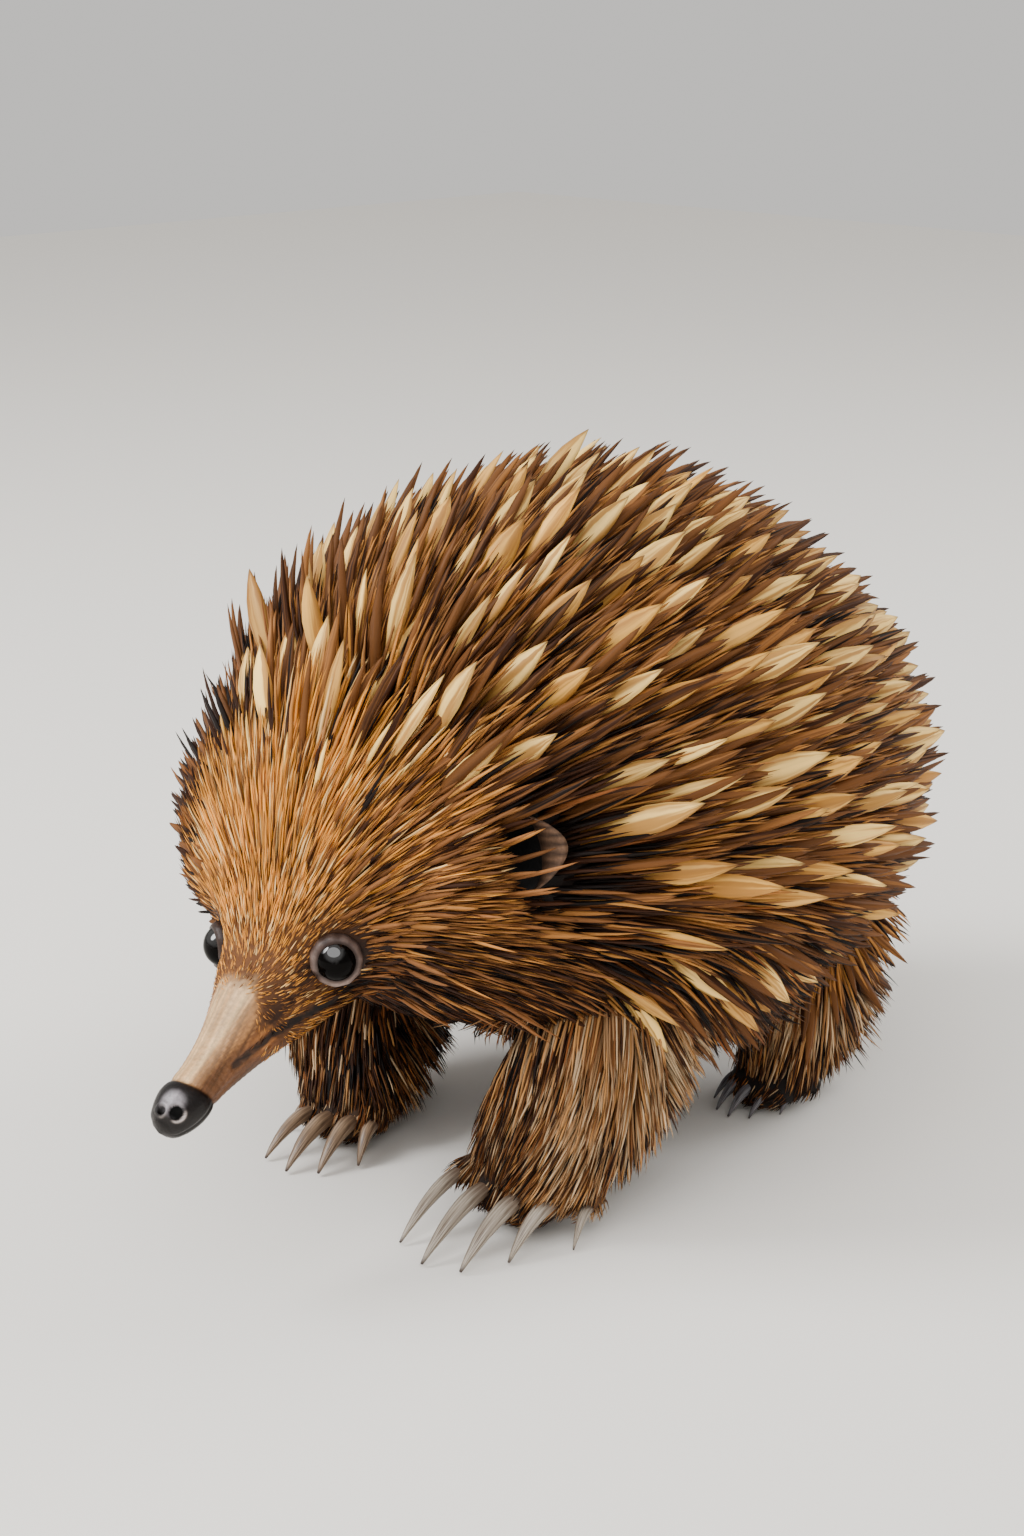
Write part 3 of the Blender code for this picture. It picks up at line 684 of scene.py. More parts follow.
# Palettes: colours, and how often each is drawn.
FACE_GOLD = ((srgb(232, 156, 68), PALE_GOLD, OCHRE, BROWN), (44, 15, 26, 15))
FACE_BROWN = ((BROWN, srgb(140, 94, 54), OCHRE, DARK, GOLD), (31, 28, 17, 17, 9))
FACE_DARK = ((BLACK, DARK, BROWN, srgb(128, 76, 38)), (36, 36, 20, 8))
LEG_BROWN = ((srgb(162, 122, 84), BROWN, srgb(200, 168, 130), DARK, srgb(182, 130, 78)), (30, 18, 26, 12, 16))
DOME_BROWN = ((BROWN, DARK, OCHRE, GOLD, srgb(152, 104, 62), BLACK), (22, 16, 22, 20, 14, 6))
BROW = ((DARK, CREAM, HONEY, BROWN, BLACK), (32, 20, 16, 20, 12))
CHEEK = ((DARK, BROWN, OCHRE, srgb(140, 92, 54)), (26, 32, 16, 26))
# Painted shade: the dark colours of the bristles on the far rim.
FAR_RIM_SHADE = ((DARK, BLACK, BROWN), (50, 25, 25))
DARK_SPINE = ((DARK, srgb(98, 62, 34), BROWN, srgb(146, 96, 52), BLACK), (30, 26, 19, 13, 12))
CREAM_SPINE = ((CREAM, HONEY, srgb(214, 160, 82)), (64, 29, 7))
TAN_SPINE = ((srgb(198, 148, 82), HONEY, OCHRE), (50, 30, 20))


# The way to the camera. The head's far rim lies across it, beyond this place at the side, and is given painted
# shade where it turns away from the camera: darker skin and fur, and dark bristles.
TO_CAMERA = (0.67, -0.67, 0.31)
RIM_SIDE = -25
RIM_FACING = 0.5
MUZZLE = 48


def from_beak(place):
    """How far each place lies from the beak's root."""
    return np.linalg.norm(place - BEAK_ROOT, axis=1)


def head_turn(place):
    """The angle round the head's axis in degrees: 0 on top, 90 level with the eyes, 180 at the throat."""
    ahead, left, up = head_axes()
    apart = place - EYE_ROOT
    return np.degrees(np.arctan2(np.abs(apart @ left), apart @ up))


def from_crease(place):
    """How far round the beak each place is from the crease at its side, or how far beyond its ends."""
    ahead, left, up = head_axes()
    own, aside, rise = ((place - BEAK_ROOT) @ way for way in (ahead, left, up))
    line = smooth_rows(CREASE, 40)
    angle = np.interp(own, line[:, 0], np.arctan2(line[:, 2], line[:, 1]))
    apart = (np.arctan2(rise, np.abs(aside)) - angle) * np.hypot(aside, rise)
    beyond = np.maximum(np.maximum(line[0, 0] - own, own - line[-1, 0]), 0)
    return np.hypot(apart, beyond)


def markings(place, out):
    """How golden and how dark the coat is at each place, 0 to 1, for the skin and the coat alike. Much of the
    dark share is painted shade: under the head and body, in the beak's crease, round the ear hollows and the
    eyes, on the far rim and the far side, on the inner sides and at the hind feet.
    """
    ahead, left, up = head_axes()
    turn = head_turn(place)
    reach = from_beak(place)
    front = ease(-60, -85, place[:, 1])
    gold = ease(96, 36, turn) * ease(120, 66, reach) * front
    jaw = ease(86, 94, turn) * ease(46, 24, reach) * front
    gold = np.maximum(gold, 0.7 * jaw)
    # Darker where the skin faces down and at the throat: painted shade under the head and body.
    dark = ease(0.15, -0.75, out[:, 2] + 0.4 * ease(60, 40, reach)) * 0.85 * (1 - jaw)
    dark = np.maximum(dark, ease(98, 116, turn) * ease(18, 34, reach) * front)
    # Painted shade: the fur is darkened along the crease at the beak's side.
    dark = np.maximum(dark, 0.97 * ease(2.9, 1.6, from_crease(place)))
    side = ease(60, 78, np.abs(place[:, 0])) * front
    # Painted shade on the far rim, where the head turns away from the camera.
    rim = ease(-22, -44, place[:, 0]) * ease(0.74, 0.42, out @ TO_CAMERA) * ease(44, 62, reach) * front
    dark = np.maximum(dark, np.maximum(0.6 * side, 0.8 * rim))
    for side in (1, -1):
        # Painted shade round each ear's hollow.
        dark = np.maximum(dark, ease(2.6, 1.2, ear_oval(place, side)))
        eye, _ = eye_place(side)
        away = place - eye
        inner = ease(14, 11, np.linalg.norm(away, axis=1))
        inner = inner * ease(0.1, 0.6, unit(away) @ (ahead * 0.9 - up * 0.4))
        # Painted shade on the nose's side of each eye: light at the near eye, deep at the far one.
        dark = np.maximum(dark, (0.25 if side > 0 else 0.7) * inner)
    # Painted shade on the sides that face the middle, inside the legs and under the body.
    inner = ease(10, -20, place[:, 0] * out[:, 0]) * ease(100, 80, place[:, 2])
    dark = np.maximum(dark, 0.8 * inner * ease(-100, -60, place[:, 1]))
    # Painted shade: the hind feet under the body, and the lower front of the far side with its foreleg.
    foot = ease(40, 24, place[:, 2]) * ease(35, 55, place[:, 1])
    far = ease(-20, -40, place[:, 0]) * ease(105, 85, place[:, 2]) * ease(0, -25, place[:, 1])
    return gold, np.maximum(dark, np.maximum(0.85 * foot, 0.75 * far))


def coat_colours(roots, draw, gold, brown, dark):
    """A colour for each tuft from three palettes, picked by chance as often as the markings say."""
    golden, dark_and_shaded = markings(roots.place, roots.out)
    count = len(roots)
    picks = [chosen(colours, weights, count, draw) for colours, weights in (gold, brown, dark)]
    colour = np.where((draw.random(count) < golden)[:, None], picks[0], picks[1])
    return np.where((draw.random(count) < dark_and_shaded)[:, None], picks[2], colour)


def flow(roots):
    """The way that the coat lies: back from the beak over the head, back and down the sides, down the legs."""
    place, out = roots.place, roots.out
    reach = from_beak(place)
    origin = BEAK_ROOT + (FACE - BEAK_ROOT) * ease(20, 80, reach)[:, None]
    way = along_skin(place - origin, out)
    droop = np.clip((150 - place[:, 2]) / 90, 0, 1.4) * 0.6 * ease(-20, 25, roots.behind())
    shoulder = np.exp(-(((place[:, 1] + 42) / 44) ** 2))
    shoulder = shoulder * ease(132, 88, place[:, 2]) * ease(35, 62, np.abs(place[:, 0]))
    droop = droop + 1.3 * shoulder
    way = along_skin(way - np.array([0, 0, 1.0]) * droop[:, None], out)
    hang = np.stack([0.1 * np.sign(place[:, 0]), np.full(len(place), 0.5), np.full(len(place), -1.0)], axis=1)
    way = unit(blended(way, hang, 0.95 * shoulder * ease(0.5, -0.1, out[:, 2])))
    down = roots.along + roots.offset * [0.0, 0.022, 0.0]
    rear = ease(-10, 18, roots.offset[:, 1]) * ease(8, 36, place[:, 2])
    back = 0.15 * ease(16, 40, place[:, 2]) + 1.05 * rear
    down = along_skin(down + np.array([0, 1.0, 0]) * back[:, None], out)
    return np.where(roots.of(*LEGS)[:, None], down, way)


def beak_edge(place):
    """How far ahead of the beak's root the fur reaches: least on top, more at the sides, and ragged."""
    ragged = 1.6 * np.sin(place[:, 0] * 1.9 + place[:, 1]) * np.sin(place[:, 2] * 2.3)
    return 1 + 11 * ease(30, 75, head_turn(place)) + ragged


def bare(roots):
    """Where no fur grows: the beak, round each eye, in each ear, and under the feet."""
    ahead, _, _ = head_axes()
    beak = ((roots.place - BEAK_ROOT) @ ahead > beak_edge(roots.place)) & roots.of("head")
    none = beak | (roots.place[:, 2] < 1.5) | (from_crease(roots.place) < 1.5)
    for side in (1, -1):
        eye, look = eye_place(side)
        apart = roots.place - eye
        beside = np.linalg.norm(apart - look * (apart @ look)[:, None], axis=1)
        none |= (beside < EYE_RADIUS + 1.0) & (np.abs(apart @ look) < 14)
        none |= ear_oval(roots.place, side) < 1.05
    return none


HAIR = ((0.0, 0.75), (0.35, 1.0), (0.7, 0.7))
LONG_HAIR = ((0.0, 0.7), (0.3, 1.0), (0.6, 0.85), (0.85, 0.45))
SPINDLE = ((0.0, 0.5), (0.2, 0.62), (0.42, 0.88), (0.6, 1.0), (0.75, 0.8), (0.88, 0.44), (0.96, 0.16))
THORN = ((0.0, 0.7), (0.25, 0.9), (0.5, 1.0), (0.75, 0.78), (0.92, 0.36))


# How many roots are sown over the body and again for the muzzle, and which of them grow spines.
SOWN = 330000
SOWN_AGAIN = 260000
DARK_ROOTS = slice(0, 12000)
CREAM_ROOTS = slice(12000, 18000)


def make_coat(ground, draw):
    """All the fur and spines, as separate pieces by where they grow."""
    pieces = {}

    def grow(name, roots, colours, **shape):
        pieces[name] = tufts(name, roots, flow(roots), shape, colours, draw)

    pool = ground.sow(SOWN, draw)
    pool = pool.pick(~bare(pool))
    body = pool.of("trunk", "head")
    behind = pool.behind()
    beside = np.abs(pool.place[:, 0])
    floor = SPINE_FLOOR - 20 * ease(20, 60, pool.place[:, 1])
    spiny = body & (behind > 0.35 * beside - 12) & (pool.place[:, 2] > floor)
    spiny &= pool.out[:, 2] > -0.75
    haunch = pool.of("hindleg_left", "hindleg_right") & (pool.place[:, 2] > 60)
    spiny |= haunch & (pool.out[:, 0] * pool.place[:, 0] > 0) & (pool.out[:, 1] > -0.5)
    from_ears = np.minimum(ear_oval(pool.place, 1), ear_oval(pool.place, -1))
    by_ear = from_ears < 1.6
    face = body & ~spiny & (behind < 14)
    belly = body & ~spiny & ~face
    leg = pool.of(*LEGS) & ~spiny
    muzzle = face & (from_beak(pool.place) < MUZZLE)

    more = ground.sow(SOWN_AGAIN, draw)
    near = (from_beak(more.place) < MUZZLE) & more.of("head", "trunk")
    more = more.pick(near & ~bare(more))
    roots = more.spread(0.95, draw)
    reach = from_beak(roots.place)
    eyes = [np.linalg.norm(roots.place - eye_place(side)[0], axis=1) for side in (1, -1)]
    near, far = (ease(10, 20, away) for away in eyes)
    length = (3.2 + 7.5 * ease(8, 48, reach)) * np.minimum(0.55 + 0.45 * near, 0.3 + 0.7 * far)
    colours = coat_colours(roots, draw, FACE_GOLD, FACE_BROWN, FACE_DARK)
    grow("muzzle_fur", roots, colours, length=length, half=0.24 + 0.14 * ease(10, 50, reach), flat=0.6,
         lift=16, settle=6, sunk=0.5, sides=3, profile=HAIR, gather=(3.0, 0.4), sway=0.08)

    for word, side in (("left", 1), ("right", -1)):
        roots = pool.pick(face & ~muzzle & (pool.place[:, 0] * side > 0)).spread(1.4, draw)
        reach = from_beak(roots.place)
        eye, _ = eye_place(side)
        from_eye = ease(10, 26, np.linalg.norm(roots.place - eye, axis=1))
        from_ear = ease(1.1, 3.4, ear_oval(roots.place, side))
        length = (4 + 21 * ease(10, 80, reach)) * (0.4 + 0.6 * from_eye) * (0.22 + 0.78 * from_ear)
        rim = ease(50, 78, np.abs(roots.place[:, 0])) * ease(60, 85, reach)
        colours = coat_colours(roots, draw, FACE_GOLD, FACE_BROWN, FACE_DARK)
        grow(f"face_fur_{word}", roots, colours, length=length, half=0.42 + 0.2 * ease(20, 70, reach), flat=0.6,
             lift=15 + 12 * rim, settle=7 + 10 * rim, sunk=0.8, sides=3, profile=HAIR, gather=(5.0, 0.45),
             sway=0.07)

    for name in LEGS:
        roots = pool.pick(leg & pool.of(name)).spread(1.65 if "fore" in name else 1.9, draw)
        height = roots.place[:, 2]
        rear = ease(0, 20, roots.offset[:, 1])
        length = 6.5 + (20 + 10 * rear) * ease(8, 42, height)
        colours = coat_colours(roots, draw, FACE_GOLD, LEG_BROWN, FACE_DARK)
        grow(f"{name}_fur", roots, colours, length=length, half=0.36 + 0.3 * ease(6, 50, height), flat=0.5,
             lift=13 + 6 * ease(20, 60, height) + 15 * rear, settle=6 + 12 * rear, sunk=1.0,
             sides=3, profile=LONG_HAIR, gather=(7, 0.45), sway=0.08, droop=0.12)

    brow = face & (behind > -36) & (pool.place[:, 1] > -132) & (pool.place[:, 2] > 95) & ~by_ear
    rim = face & ~muzzle & ~by_ear & (pool.place[:, 0] < RIM_SIDE) & (pool.out @ TO_CAMERA < RIM_FACING)
    brow |= rim & (pool.place[:, 2] > 80) & (from_beak(pool.place) > 52)
    roots = pool.pick(np.flatnonzero(brow)[:11000]).apart(4.6)
    rim = (roots.place[:, 0] < RIM_SIDE) & (roots.out @ TO_CAMERA < RIM_FACING)
    short = 1 - 0.5 * rim * ease(92, 60, from_beak(roots.place))
    pale = (head_turn(roots.place) < 52) & (roots.behind() > -24) & ~rim
    colours = np.where(pale[:, None], chosen(*BROW, len(roots), draw), chosen(*CHEEK, len(roots), draw))
    # Bristles on the far rim take dark colours as painted shade.
    colours = np.where(rim[:, None], chosen(*FAR_RIM_SHADE, len(roots), draw), colours)
    grow("brow_bristles", roots, colours, length=(20 + 10 * ease(-36, 5, roots.behind())) * short,
         half=0.9 + 0.5 * rim, flat=0.5, lift=24 + 20 * rim, settle=15 + 18 * rim, sunk=1.5,
         sides=4, profile=THORN, sway=0.08, unruly=5)

    roots = pool.pick(belly).spread(3.2, draw)
    colours = coat_colours(roots, draw, FACE_GOLD, DOME_BROWN, FACE_DARK)
    grow("belly_fur", roots, colours, length=28, half=1.0, flat=0.5, lift=20, settle=8, sunk=1.5,
         sides=3, profile=LONG_HAIR, gather=(11, 0.5), sway=0.12)

    front = pool.place[:, 1] < 15
    for word, half, spacing in (("front", front, 3.2), ("rear", ~front, 3.4)):
        roots = pool.pick(spiny & half).spread(spacing, draw)
        colours = coat_colours(roots, draw, FACE_GOLD, DOME_BROWN, FACE_DARK)
        low = ease(95, 65, roots.place[:, 2])
        haunch = low * ease(20, 50, roots.place[:, 1])
        grow(f"dome_bristles_{word}", roots, colours, length=36 + 8 * low - 20 * haunch, half=1.0, flat=0.55,
             lift=27 - 6 * low, settle=17 - 6 * low, sunk=1.5, sides=3, profile=LONG_HAIR, gather=(9, 0.35),
             sway=0.1, vary=(0.7, 1.15), droop=0.1)

    roots = pool.pick(np.flatnonzero(spiny & ~by_ear)[DARK_ROOTS]).apart(7.4)
    colours = chosen(*DARK_SPINE, len(roots), draw)
    length = 47 * (1 - 0.3 * ease(115, 75, roots.place[:, 2]))
    grow("dark_spines", roots, colours, length=length, half=2.1, flat=0.6, lift=30, settle=19, sunk=3,
         sides=5, profile=THORN, sway=0.07, vary=(0.82, 1.12), unruly=4)

    above = pool.place[:, 2] > CREAM_FLOOR + 12 * ease(-50, 10, pool.place[:, 1])
    roots = pool.pick(np.flatnonzero(spiny & (from_ears > 2.2) & above)[CREAM_ROOTS]).apart(14.2)
    tan = draw.random(len(roots)) < 0.6 * ease(116, 88, roots.place[:, 2])
    colours = chosen(*CREAM_SPINE, len(roots), draw)
    colours = np.where(tan[:, None], chosen(*TAN_SPINE, len(roots), draw), colours)
    small = 1 - 0.2 * ease(120, 90, roots.place[:, 2])
    grow("cream_spines", roots, colours, length=44.5 * small, half=4.4 * small, flat=0.4, lift=35, settle=22,
         sunk=3, sides=8, profile=SPINDLE, sway=0.05, vary=(0.85, 1.1), unruly=4)
    return pieces


def group_tree(name, inputs, outputs):
    """An empty shader node group with its named sockets, each a kind and a first value."""
    tree = bpy.data.node_groups.new(name, "ShaderNodeTree")
    for word, kind, value in inputs:
        socket = tree.interface.new_socket(word, in_out="INPUT", socket_type=kind)
        if value is not None:
            socket.default_value = value
    for word, kind in outputs:
        tree.interface.new_socket(word, in_out="OUTPUT", socket_type=kind)
    return tree, tree.nodes.new("NodeGroupInput"), tree.nodes.new("NodeGroupOutput")


def maths(tree, operation, first, second=None):
    """A Math node fed by sockets or numbers. Returns its result."""
    node = tree.nodes.new("ShaderNodeMath")
    node.operation = operation
    for slot, value in zip(node.inputs, (first, second)):
        if isinstance(value, bpy.types.NodeSocket):
            tree.links.new(value, slot)
        elif value is not None:
            slot.default_value = value
    return node.outputs[0]


def mixed(tree, share, first, second, blend="MIX"):
    """A colour mix fed by sockets or by colours. Returns its result."""
    node = tree.nodes.new("ShaderNodeMix")
    node.data_type = "RGBA"
    node.blend_type = blend
    for slot, value in zip((node.inputs["Factor"], node.inputs[6], node.inputs[7]), (share, first, second)):
        if isinstance(value, bpy.types.NodeSocket):
            tree.links.new(value, slot)
        elif isinstance(value, tuple):
            slot.default_value = (*value, 1)
        else:
            slot.default_value = value
    return node.outputs[2]


def number_of(tree, name):
    """Reads a number or a colour that the mesh keeps for its points."""
    node = tree.nodes.new("ShaderNodeAttribute")
    node.attribute_name = name
    return node


def ramp(tree, value, stops):
    """A soft step of a number between places and heights."""
    node = tree.nodes.new("ShaderNodeValToRGB")
    elements = node.color_ramp.elements
    while len(elements) < len(stops):
        elements.new(0.5)
    for element, (place, height) in zip(elements, stops):
        element.position = place
        element.color = (height, height, height, 1)
    tree.links.new(value, node.inputs[0])
    return node.outputs[0]


def noise(tree, vector, scale, detail=4.0, stretch=None):
    node = tree.nodes.new("ShaderNodeTexNoise")
    node.inputs["Scale"].default_value = scale
    node.inputs["Detail"].default_value = detail
    if stretch:
        mapping = tree.nodes.new("ShaderNodeMapping")
        mapping.inputs["Scale"].default_value = stretch
        tree.links.new(vector, mapping.inputs["Vector"])
        vector = mapping.outputs[0]
    tree.links.new(vector, node.inputs["Vector"])
    return node.outputs["Fac"]


def make_mottle():
    """Group: a factor that wanders round 1 over the body, coarse and fine, by the given amount."""
    tree, given, result = group_tree(
        "mottle",
        (("Scale", "NodeSocketFloat", 60.0), ("Amount", "NodeSocketFloat", 0.3)),
        (("Factor", "NodeSocketFloat"),),
    )
    place = tree.nodes.new("ShaderNodeTexCoord").outputs["Object"]
    node = tree.nodes.new("ShaderNodeTexNoise")
    node.inputs["Detail"].default_value = 3
    tree.links.new(place, node.inputs["Vector"])
    tree.links.new(given.outputs["Scale"], node.inputs["Scale"])
    centred = maths(tree, "SUBTRACT", node.outputs["Fac"], 0.5)
    swing = maths(tree, "MULTIPLY", centred, given.outputs["Amount"])
    tree.links.new(maths(tree, "ADD", maths(tree, "MULTIPLY", swing, 2.0), 1.0), result.inputs["Factor"])
    return tree


def new_material(name, rough):
    material = bpy.data.materials.new(name)
    material.use_nodes = True
    shader = material.node_tree.nodes["Principled BSDF"]
    shader.inputs["Roughness"].default_value = rough
    return material, material.node_tree, shader


def placed_group(tree, group, **values):
    node = tree.nodes.new("ShaderNodeGroup")
    node.node_tree = group
    for word, value in values.items():
        node.inputs[word].default_value = value
    return node


def brightened(tree, colour, factor):
    """A colour times a number."""
    node = tree.nodes.new("ShaderNodeVectorMath")
    node.operation = "SCALE"
    tree.links.new(colour, node.inputs[0])
    tree.links.new(factor, node.inputs["Scale"])
    return node.outputs[0]


def varied(tree, light, mottle, swing, least, scale, amount):
    """A brightness that differs by chance from tuft to tuft, and wanders over the body."""
    own = maths(tree, "ADD", maths(tree, "MULTIPLY", number_of(tree, "chance").outputs["Fac"], swing), least)
    wander = placed_group(tree, mottle, Scale=scale, Amount=amount).outputs["Factor"]
    return maths(tree, "MULTIPLY", maths(tree, "MULTIPLY", light, own), wander)


def roughened(tree, shader, height, strength, distance):
    """Lets a number's height show in the light on the shader's surface."""
    bump = tree.nodes.new("ShaderNodeBump")
    bump.inputs["Strength"].default_value = strength
    bump.inputs["Distance"].default_value = distance
    tree.links.new(height, bump.inputs["Height"])
    tree.links.new(bump.outputs[0], shader.inputs["Normal"])


def fur_material(name, mottle, rough, tip):
    """Hair in the coat's colours: darker at its root, lighter in its length, and mottled over the body."""
    material, tree, shader = new_material(name, rough)
    along = number_of(tree, "along").outputs["Fac"]
    colour = number_of(tree, "coat_colour").outputs["Color"]
    light = ramp(tree, along, ((0.0, 0.32), (0.35, 0.85), (0.8, 1.0), (1.0, tip)))
    light = varied(tree, light, mottle, 0.5, 0.75, 45.0, 0.6)
    tree.links.new(brightened(tree, colour, light), shader.inputs["Base Color"])
    shader.inputs["Specular IOR Level"].default_value = 0.16
    return material


def spine_material(name, mottle, base, tip_dark, shine):
    """Horn: a base colour at the root runs to the spine's own, with streaks along it and a dark point."""
    material, tree, shader = new_material(name, 0.5)
    shader.inputs["Specular IOR Level"].default_value = shine
    along = number_of(tree, "along").outputs["Fac"]
    colour = number_of(tree, "coat_colour").outputs["Color"]
    patch = tree.nodes.new("ShaderNodeUVMap")
    patch.uv_map = "OFBake"
    own = mixed(tree, ramp(tree, along, ((0.12, 0.0), (0.45, 1.0))), base, colour)
    streak = noise(tree, patch.outputs[0], 1.0, 2.0, (1000.0, 220.0, 1.0))
    own = mixed(tree, ramp(tree, streak, ((0.46, 0.0), (0.56, 0.8))), own, base)
    light = ramp(tree, streak, ((0.3, 1.12), (0.7, 0.72)))
    light = varied(tree, light, mottle, 0.35, 0.8, 30.0, 0.35)
    own = mixed(tree, ramp(tree, along, ((0.9, 0.0), (0.99, tip_dark))), brightened(tree, own, light), DARK)
    tree.links.new(own, shader.inputs["Base Color"])
    roughened(tree, shader, streak, 0.25, 0.0004)
    return material


def skin_material(mottle):
    """Dark skin under the coat, running to the bare grey beak and its dark nose."""
    material, tree, shader = new_material("echidna_skin", 0.55)
    place = tree.nodes.new("ShaderNodeTexCoord").outputs["Object"]
    colour = number_of(tree, "coat_colour").outputs["Color"]
    fine = noise(tree, place, 900.0, 5.0)
    light = maths(tree, "MULTIPLY", ramp(tree, fine, ((0.3, 0.8), (0.7, 1.12))),
                  placed_group(tree, mottle, Scale=110.0, Amount=0.5).outputs["Factor"])
    tree.links.new(brightened(tree, colour, light), shader.inputs["Base Color"])
    tree.links.new(number_of(tree, "rough").outputs["Fac"], shader.inputs["Roughness"])
    shader.inputs["Specular IOR Level"].default_value = 0.28
    roughened(tree, shader, fine, 0.35, 0.0005)
    return material


def plain_material(name, colour, rough):
    material, _, shader = new_material(name, rough)
    shader.inputs["Base Color"].default_value = (*colour, 1)
    return material


def eye_material():
    """A black wet eye. The film of tears shines most where the eye faces up."""
    material, tree, shader = new_material("eye_black", 0.035)
    shader.inputs["Base Color"].default_value = (0.002, 0.0016, 0.0014, 1)
    tree.links.new(number_of(tree, "film").outputs["Fac"], shader.inputs["Specular IOR Level"])
    return material


def claw_material(name, low, high):
    """Horn: brown at the root, streaked lengthwise between its low and high colours, dark at the point."""
    material, tree, shader = new_material(name, 0.36)
    place = tree.nodes.new("ShaderNodeUVMap")
    place.uv_map = "UVMap"
    along = number_of(tree, "along").outputs["Fac"]
    streak = noise(tree, place.outputs[0], 1.0, 4.0, (22.0, 2.2, 1.0))
    pale = mixed(tree, ramp(tree, streak, ((0.35, 0.0), (0.65, 1.0))), low, high)
    own = mixed(tree, ramp(tree, along, ((0.05, 0.0), (0.3, 1.0))), srgb(96, 74, 58), pale)
    own = mixed(tree, ramp(tree, along, ((0.88, 0.0), (1.0, 1.0))), own, srgb(48, 34, 28))
    tree.links.new(own, shader.inputs["Base Color"])
    roughened(tree, shader, streak, 0.3, 0.0004)
    return material


def dressed(obj, material, slot, *nodes):
    """Gives a piece its finish and hides the solids it replaces. The slot is not used."""
    obj.data.materials.clear()
    obj.data.materials.append(material)
    obj.data.shade_smooth()
    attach(obj, "root")
    if nodes:
        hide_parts(*nodes)


def claw_rows(root, tip, half):
    """A claw's sections: broad near its root, arched along its length, and thin at its tip."""
    root, tip = np.array(root, float), np.array(tip, float)
    table = []
    for t, wide in ((0, 0.85), (0.3, 1.0), (0.6, 0.8), (0.85, 0.45), (1.0, 0.16)):
        middle = root + (tip - root) * t + np.array([0, 0, CLAW_ARCH * 4 * t * (1 - t)])
        table.append((*middle, half * wide, half * wide * 0.8, half * wide * 0.7))
    return table


def make_claw(name, root, tip, half):
    points, ends = oval_tube(claw_rows(root, tip, half * 1.08), 26, 16)
    claw = tube_object(name, points, ends)
    along = np.append(np.repeat(np.linspace(0, 1, 26), 16), [0, 1])
    around = np.append(np.tile(np.arange(16) / 16, 26), [0.5, 0.5])
    with_numbers(claw, "along", along)
    with_uv(claw, "UVMap", np.stack([around, along], axis=1))
    return claw


def ear_axes(side):
    """The middle of an ear's hollow, and the ways out of it, back along the skin, and up along it."""
    turned = np.array([side, 1.0, 1.0])
    look = unit(turned * EAR_LOOK)
    back = along_skin(np.array([0.12 * side, 1.0, 0.0]), look)
    return turned * EAR_PLACE, look, back, unit(np.cross(back, look)) * side


def ear_oval(places, side):
    """How far places lie from the middle of the ear's hollow, 1 at its rim."""
    place, look, back, tall = ear_axes(side)
    apart = places - place
    deep = np.abs(apart @ look) / 14
    return np.sqrt((apart @ back / EAR_HOLLOW[0]) ** 2 + (apart @ tall / EAR_HOLLOW[1]) ** 2 + deep**2)


# The leaf's section: how far it stands out, as a share of its height or in millimetres below it, and inwards.
EAR_LEAF = ((-2.0, -0.3), (0.0, 0.6), (0.5, 1.0), (0.85, 1.5), (1.0, 1.1), (0.9, 0.3), (0.5, -0.6), (0, -1.2),
            (-2, -1.6))


def make_ear(name, side):
    """The flap behind the ear's hollow: a curved rim whose section is a thin leaf that leans over the hollow.

    Along the turn u its foot is at tall sin(u) and back cos(u), and its height is 8.5 cos(u) to a power.
    """
    place, look, back, tall = ear_axes(side)
    turn = np.linspace(-1.3, 1.3, 30)[:, None, None]
    foot = place + tall * np.sin(turn) * 13.5 + back * (np.cos(turn) * 7.2 - 0.6)
    inward = -(back * np.cos(turn) + tall * np.sin(turn) * 0.8)
    height = 8.5 * np.cos(turn * 1.05) ** 0.7
    leaf = np.array(EAR_LEAF)
    raised = np.maximum(leaf[:, 0], 0)[None, :, None]
    out = np.minimum(leaf[:, 0], 0)[None, :, None] + raised * height
    flare = raised**1.4 * height * np.cos(turn) ** 2
    points = foot + look * out + inward * leaf[:, 1][None, :, None] * (0.4 + 0.6 * height / 9.5)
    points = points + back * flare * 0.85
    ends = np.stack([points[0].mean(0), points[-1].mean(0)])
    ear = tube_object(name, points, ends)
    normals_out(ear)
    wave = np.sin(turn[:, :, 0] * 34) * np.sin(turn[:, :, 0] * 11 + leaf[None, :, 0] * 2)
    pale = (0.4 + 0.45 * wave + 0.25 * np.cos(turn[:, :, 0] * 1.2)) * ease(-0.4, 0.9, leaf[:, 0])[None]
    pale = np.append(pale.ravel(), [0.2, 0.2])[:, None]
    low, high = np.array(srgb(30, 19, 14)), np.array(srgb(112, 84, 64))
    with_numbers(ear, "coat_colour", low * (1 - pale) + high * pale)
    with_numbers(ear, "rough", np.full(len(pale), 0.6))
    return ear


def normals_out(obj):
    """Turns every face of a closed mesh outwards."""
    bm = bmesh.new()
    bm.from_mesh(obj.data)
    bmesh.ops.recalc_face_normals(bm, faces=bm.faces[:])
    bm.to_mesh(obj.data)
    bm.free()


# Round the rim's section: degrees off the eye's look, millimetres from its middle, how far the tear's notch
# turns and how much it lowers it, and how pale the skin is.
LID_SECTION = (
    (55, 8.1, 0.13, 0, 0.0),
    (57, 8.6, 0.12, 0.6, 0.25),
    (61, 9.1, 0.08, 1, 0.8),
    (66, 9.45, 0.03, 1, 0.9),
    (74, 9.65, 0, 0.6, 0.6),
    (84, 9.5, 0, 0, 0.35),
    (96, 8.6, 0, 0, 0.2),
    (84, 6.5, 0, 0, 0),
    (60, 6.5, 0, 0, 0),
)


